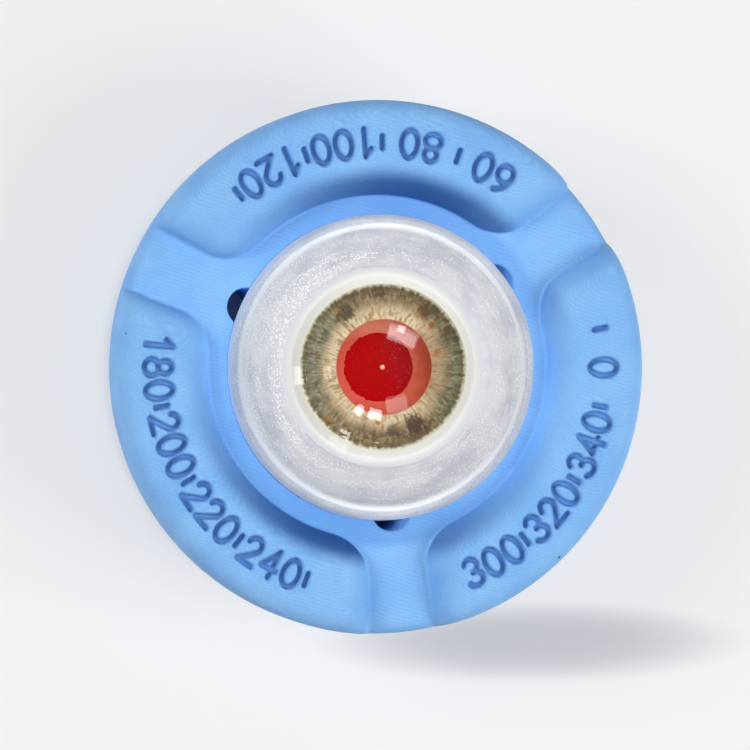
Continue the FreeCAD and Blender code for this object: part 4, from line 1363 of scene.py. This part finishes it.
def new_lamp(name, direction, reach, size, watts, seen_by_gloss):
    """A rectangular lamp that looks at the globe and lights either matt surfaces or reflections."""
    light = bpy.data.lights.new(name, "AREA")
    light.shape = "RECTANGLE"
    light.size, light.size_y = size
    light.energy = watts
    lamp = placed(name, light)
    unit = Vector(direction).normalized()
    lamp.location = Vector(globe_centre * MM) + unit * reach
    lamp.rotation_euler = unit.to_track_quat("Z", "Y").to_euler()
    lamp.visible_camera = False
    lamp.visible_glossy = seen_by_gloss
    lamp.visible_diffuse = not seen_by_gloss
    lamp.visible_transmission = False
    return lamp


def light_group(name, pieces):
    """A collection that only serves to say which pieces a lamp reaches or is blocked by."""
    group = bpy.data.collections.new(name)
    for piece in pieces:
        group.objects.link(piece)
    return group


white_pieces = [rear_cup, front_shell, white_ring]
inner_pieces = [liner, filling, port_plug, lens, film, lens_ring, cornea, iris]
groups = {
    "holder": light_group("lit_holder", [holder]),
    "white": light_group("lit_white_pieces", white_pieces),
    "eye": light_group("lit_eye_pieces", white_pieces + inner_pieces),
}
blockers = light_group("side_lamp_blockers", [holder])
for name, direction, reach, size, share, reached in LAMPS:
    level = direction[2] / math.hypot(*direction)
    watts = share * (math.pi * reach) ** 2 / level
    lamp = new_lamp(name, direction, reach, (size, size), watts, False)
    if reached:
        lamp.light_linking.receiver_collection = groups[reached]
    if name.endswith(("left", "right")):
        lamp.light_linking.blocker_collection = blockers
for name, direction, size, radiance in GLINTS:
    new_lamp(name, direction, GLINT_REACH, size, radiance * math.pi * size[0] * size[1], True)

world = bpy.data.worlds.new("studio")
world.use_nodes = True
background = world.node_tree.nodes["Background"]
background.inputs["Color"].default_value = (0.98, 0.99, 1.0, 1.0)
background.inputs["Strength"].default_value = AMBIENT
world.cycles_visibility.glossy = False
bpy.context.scene.world = world
for kind in ("holder", "eye"):
    level_light = AMBIENT + sum(lamp[-2] for lamp in LAMPS if lamp[-1] in (None, kind))
    print(f"level light on the {kind}: {level_light:.2f}")

# %% Floor and camera
VIEW_DISTANCE = 400.0
FRAME_PIXELS = 750
SENSOR = 36.0
GLOBE_PIXELS_PER_MM = 12.75
VIEW_TURN = math.radians(1.0)
VIEW_SHIFT = (-0.44, -0.60)
FLOOR_HALF = 2
FLOOR_GLOW = 0.6
SHADE_MIDDLE = (15.0, -22.4)
SHADE_HALF = (19.0, 3.6)

floor_mesh = bpy.data.meshes.new("floor")
corners = [(-1, -1), (1, -1), (1, 1), (-1, 1)]
floor_mesh.from_pydata([(u * FLOOR_HALF, v * FLOOR_HALF, 0) for u, v in corners],
                       [], [(0, 1, 2, 3)])
floor = placed("floor", floor_mesh)
paper = Finish("pale_floor", Roughness=0.9, Specular_IOR_Level=0.1)
spot = paper.place()
x, y, _, r = paper.split(spot)
aside = (x - SHADE_MIDDLE[0]) / SHADE_HALF[0]
below = (y - SHADE_MIDDLE[1]) / SHADE_HALF[1]
pale = paper.coats(
    (243, 243, 244),
    ((247, 247, 248), paper.noise(spot, 0.02, detail=2)),
    # painted shadow: a soft darker ellipse below and to the right of the holder
    ((207, 207, 212), paper.step(aside * aside + below * below, 1.0, 0.0)),
)
clear_of_holder = paper.step(r, RIM_RADIUS - 2, RIM_RADIUS)
seen = paper.node("ShaderNodeLightPath", result="Is Camera Ray") * clear_of_holder * FLOOR_GLOW
paper.feed(Base_Color=pale)
glow = paper.node("ShaderNodeEmission", None, {"Color": pale, "Strength": 1.0})
paper.show(paper.mixed(seen, Wire(paper.shader.outputs[0]), glow))
paper.wear(floor)
groups["holder"].objects.link(floor)

camera_data = bpy.data.cameras.new("camera")
camera_data.sensor_width = SENSOR
camera_data.lens = GLOBE_PIXELS_PER_MM * VIEW_DISTANCE * SENSOR / FRAME_PIXELS
camera = placed("camera", camera_data)
right, up, towards = globe_frame
right, towards = (right * math.cos(VIEW_TURN) + towards * math.sin(VIEW_TURN),
                  towards * math.cos(VIEW_TURN) - right * math.sin(VIEW_TURN))
target = globe_centre + right * VIEW_SHIFT[0] + up * VIEW_SHIFT[1]
turn = Matrix((right, up, towards)).transposed()
camera.matrix_world = Matrix.Translation((target + towards * VIEW_DISTANCE) * MM) @ turn.to_4x4()
bpy.context.scene.camera = camera
bpy.context.scene.view_settings.view_transform = "Standard"
print(f"camera: a {camera_data.lens:.0f} mm lens, {VIEW_DISTANCE:.0f} mm away")

# %% Remove Blender's default objects
for name in ("Cube", "Light", "Camera"):
    if name in bpy.data.objects:
        bpy.data.objects.remove(bpy.data.objects[name])
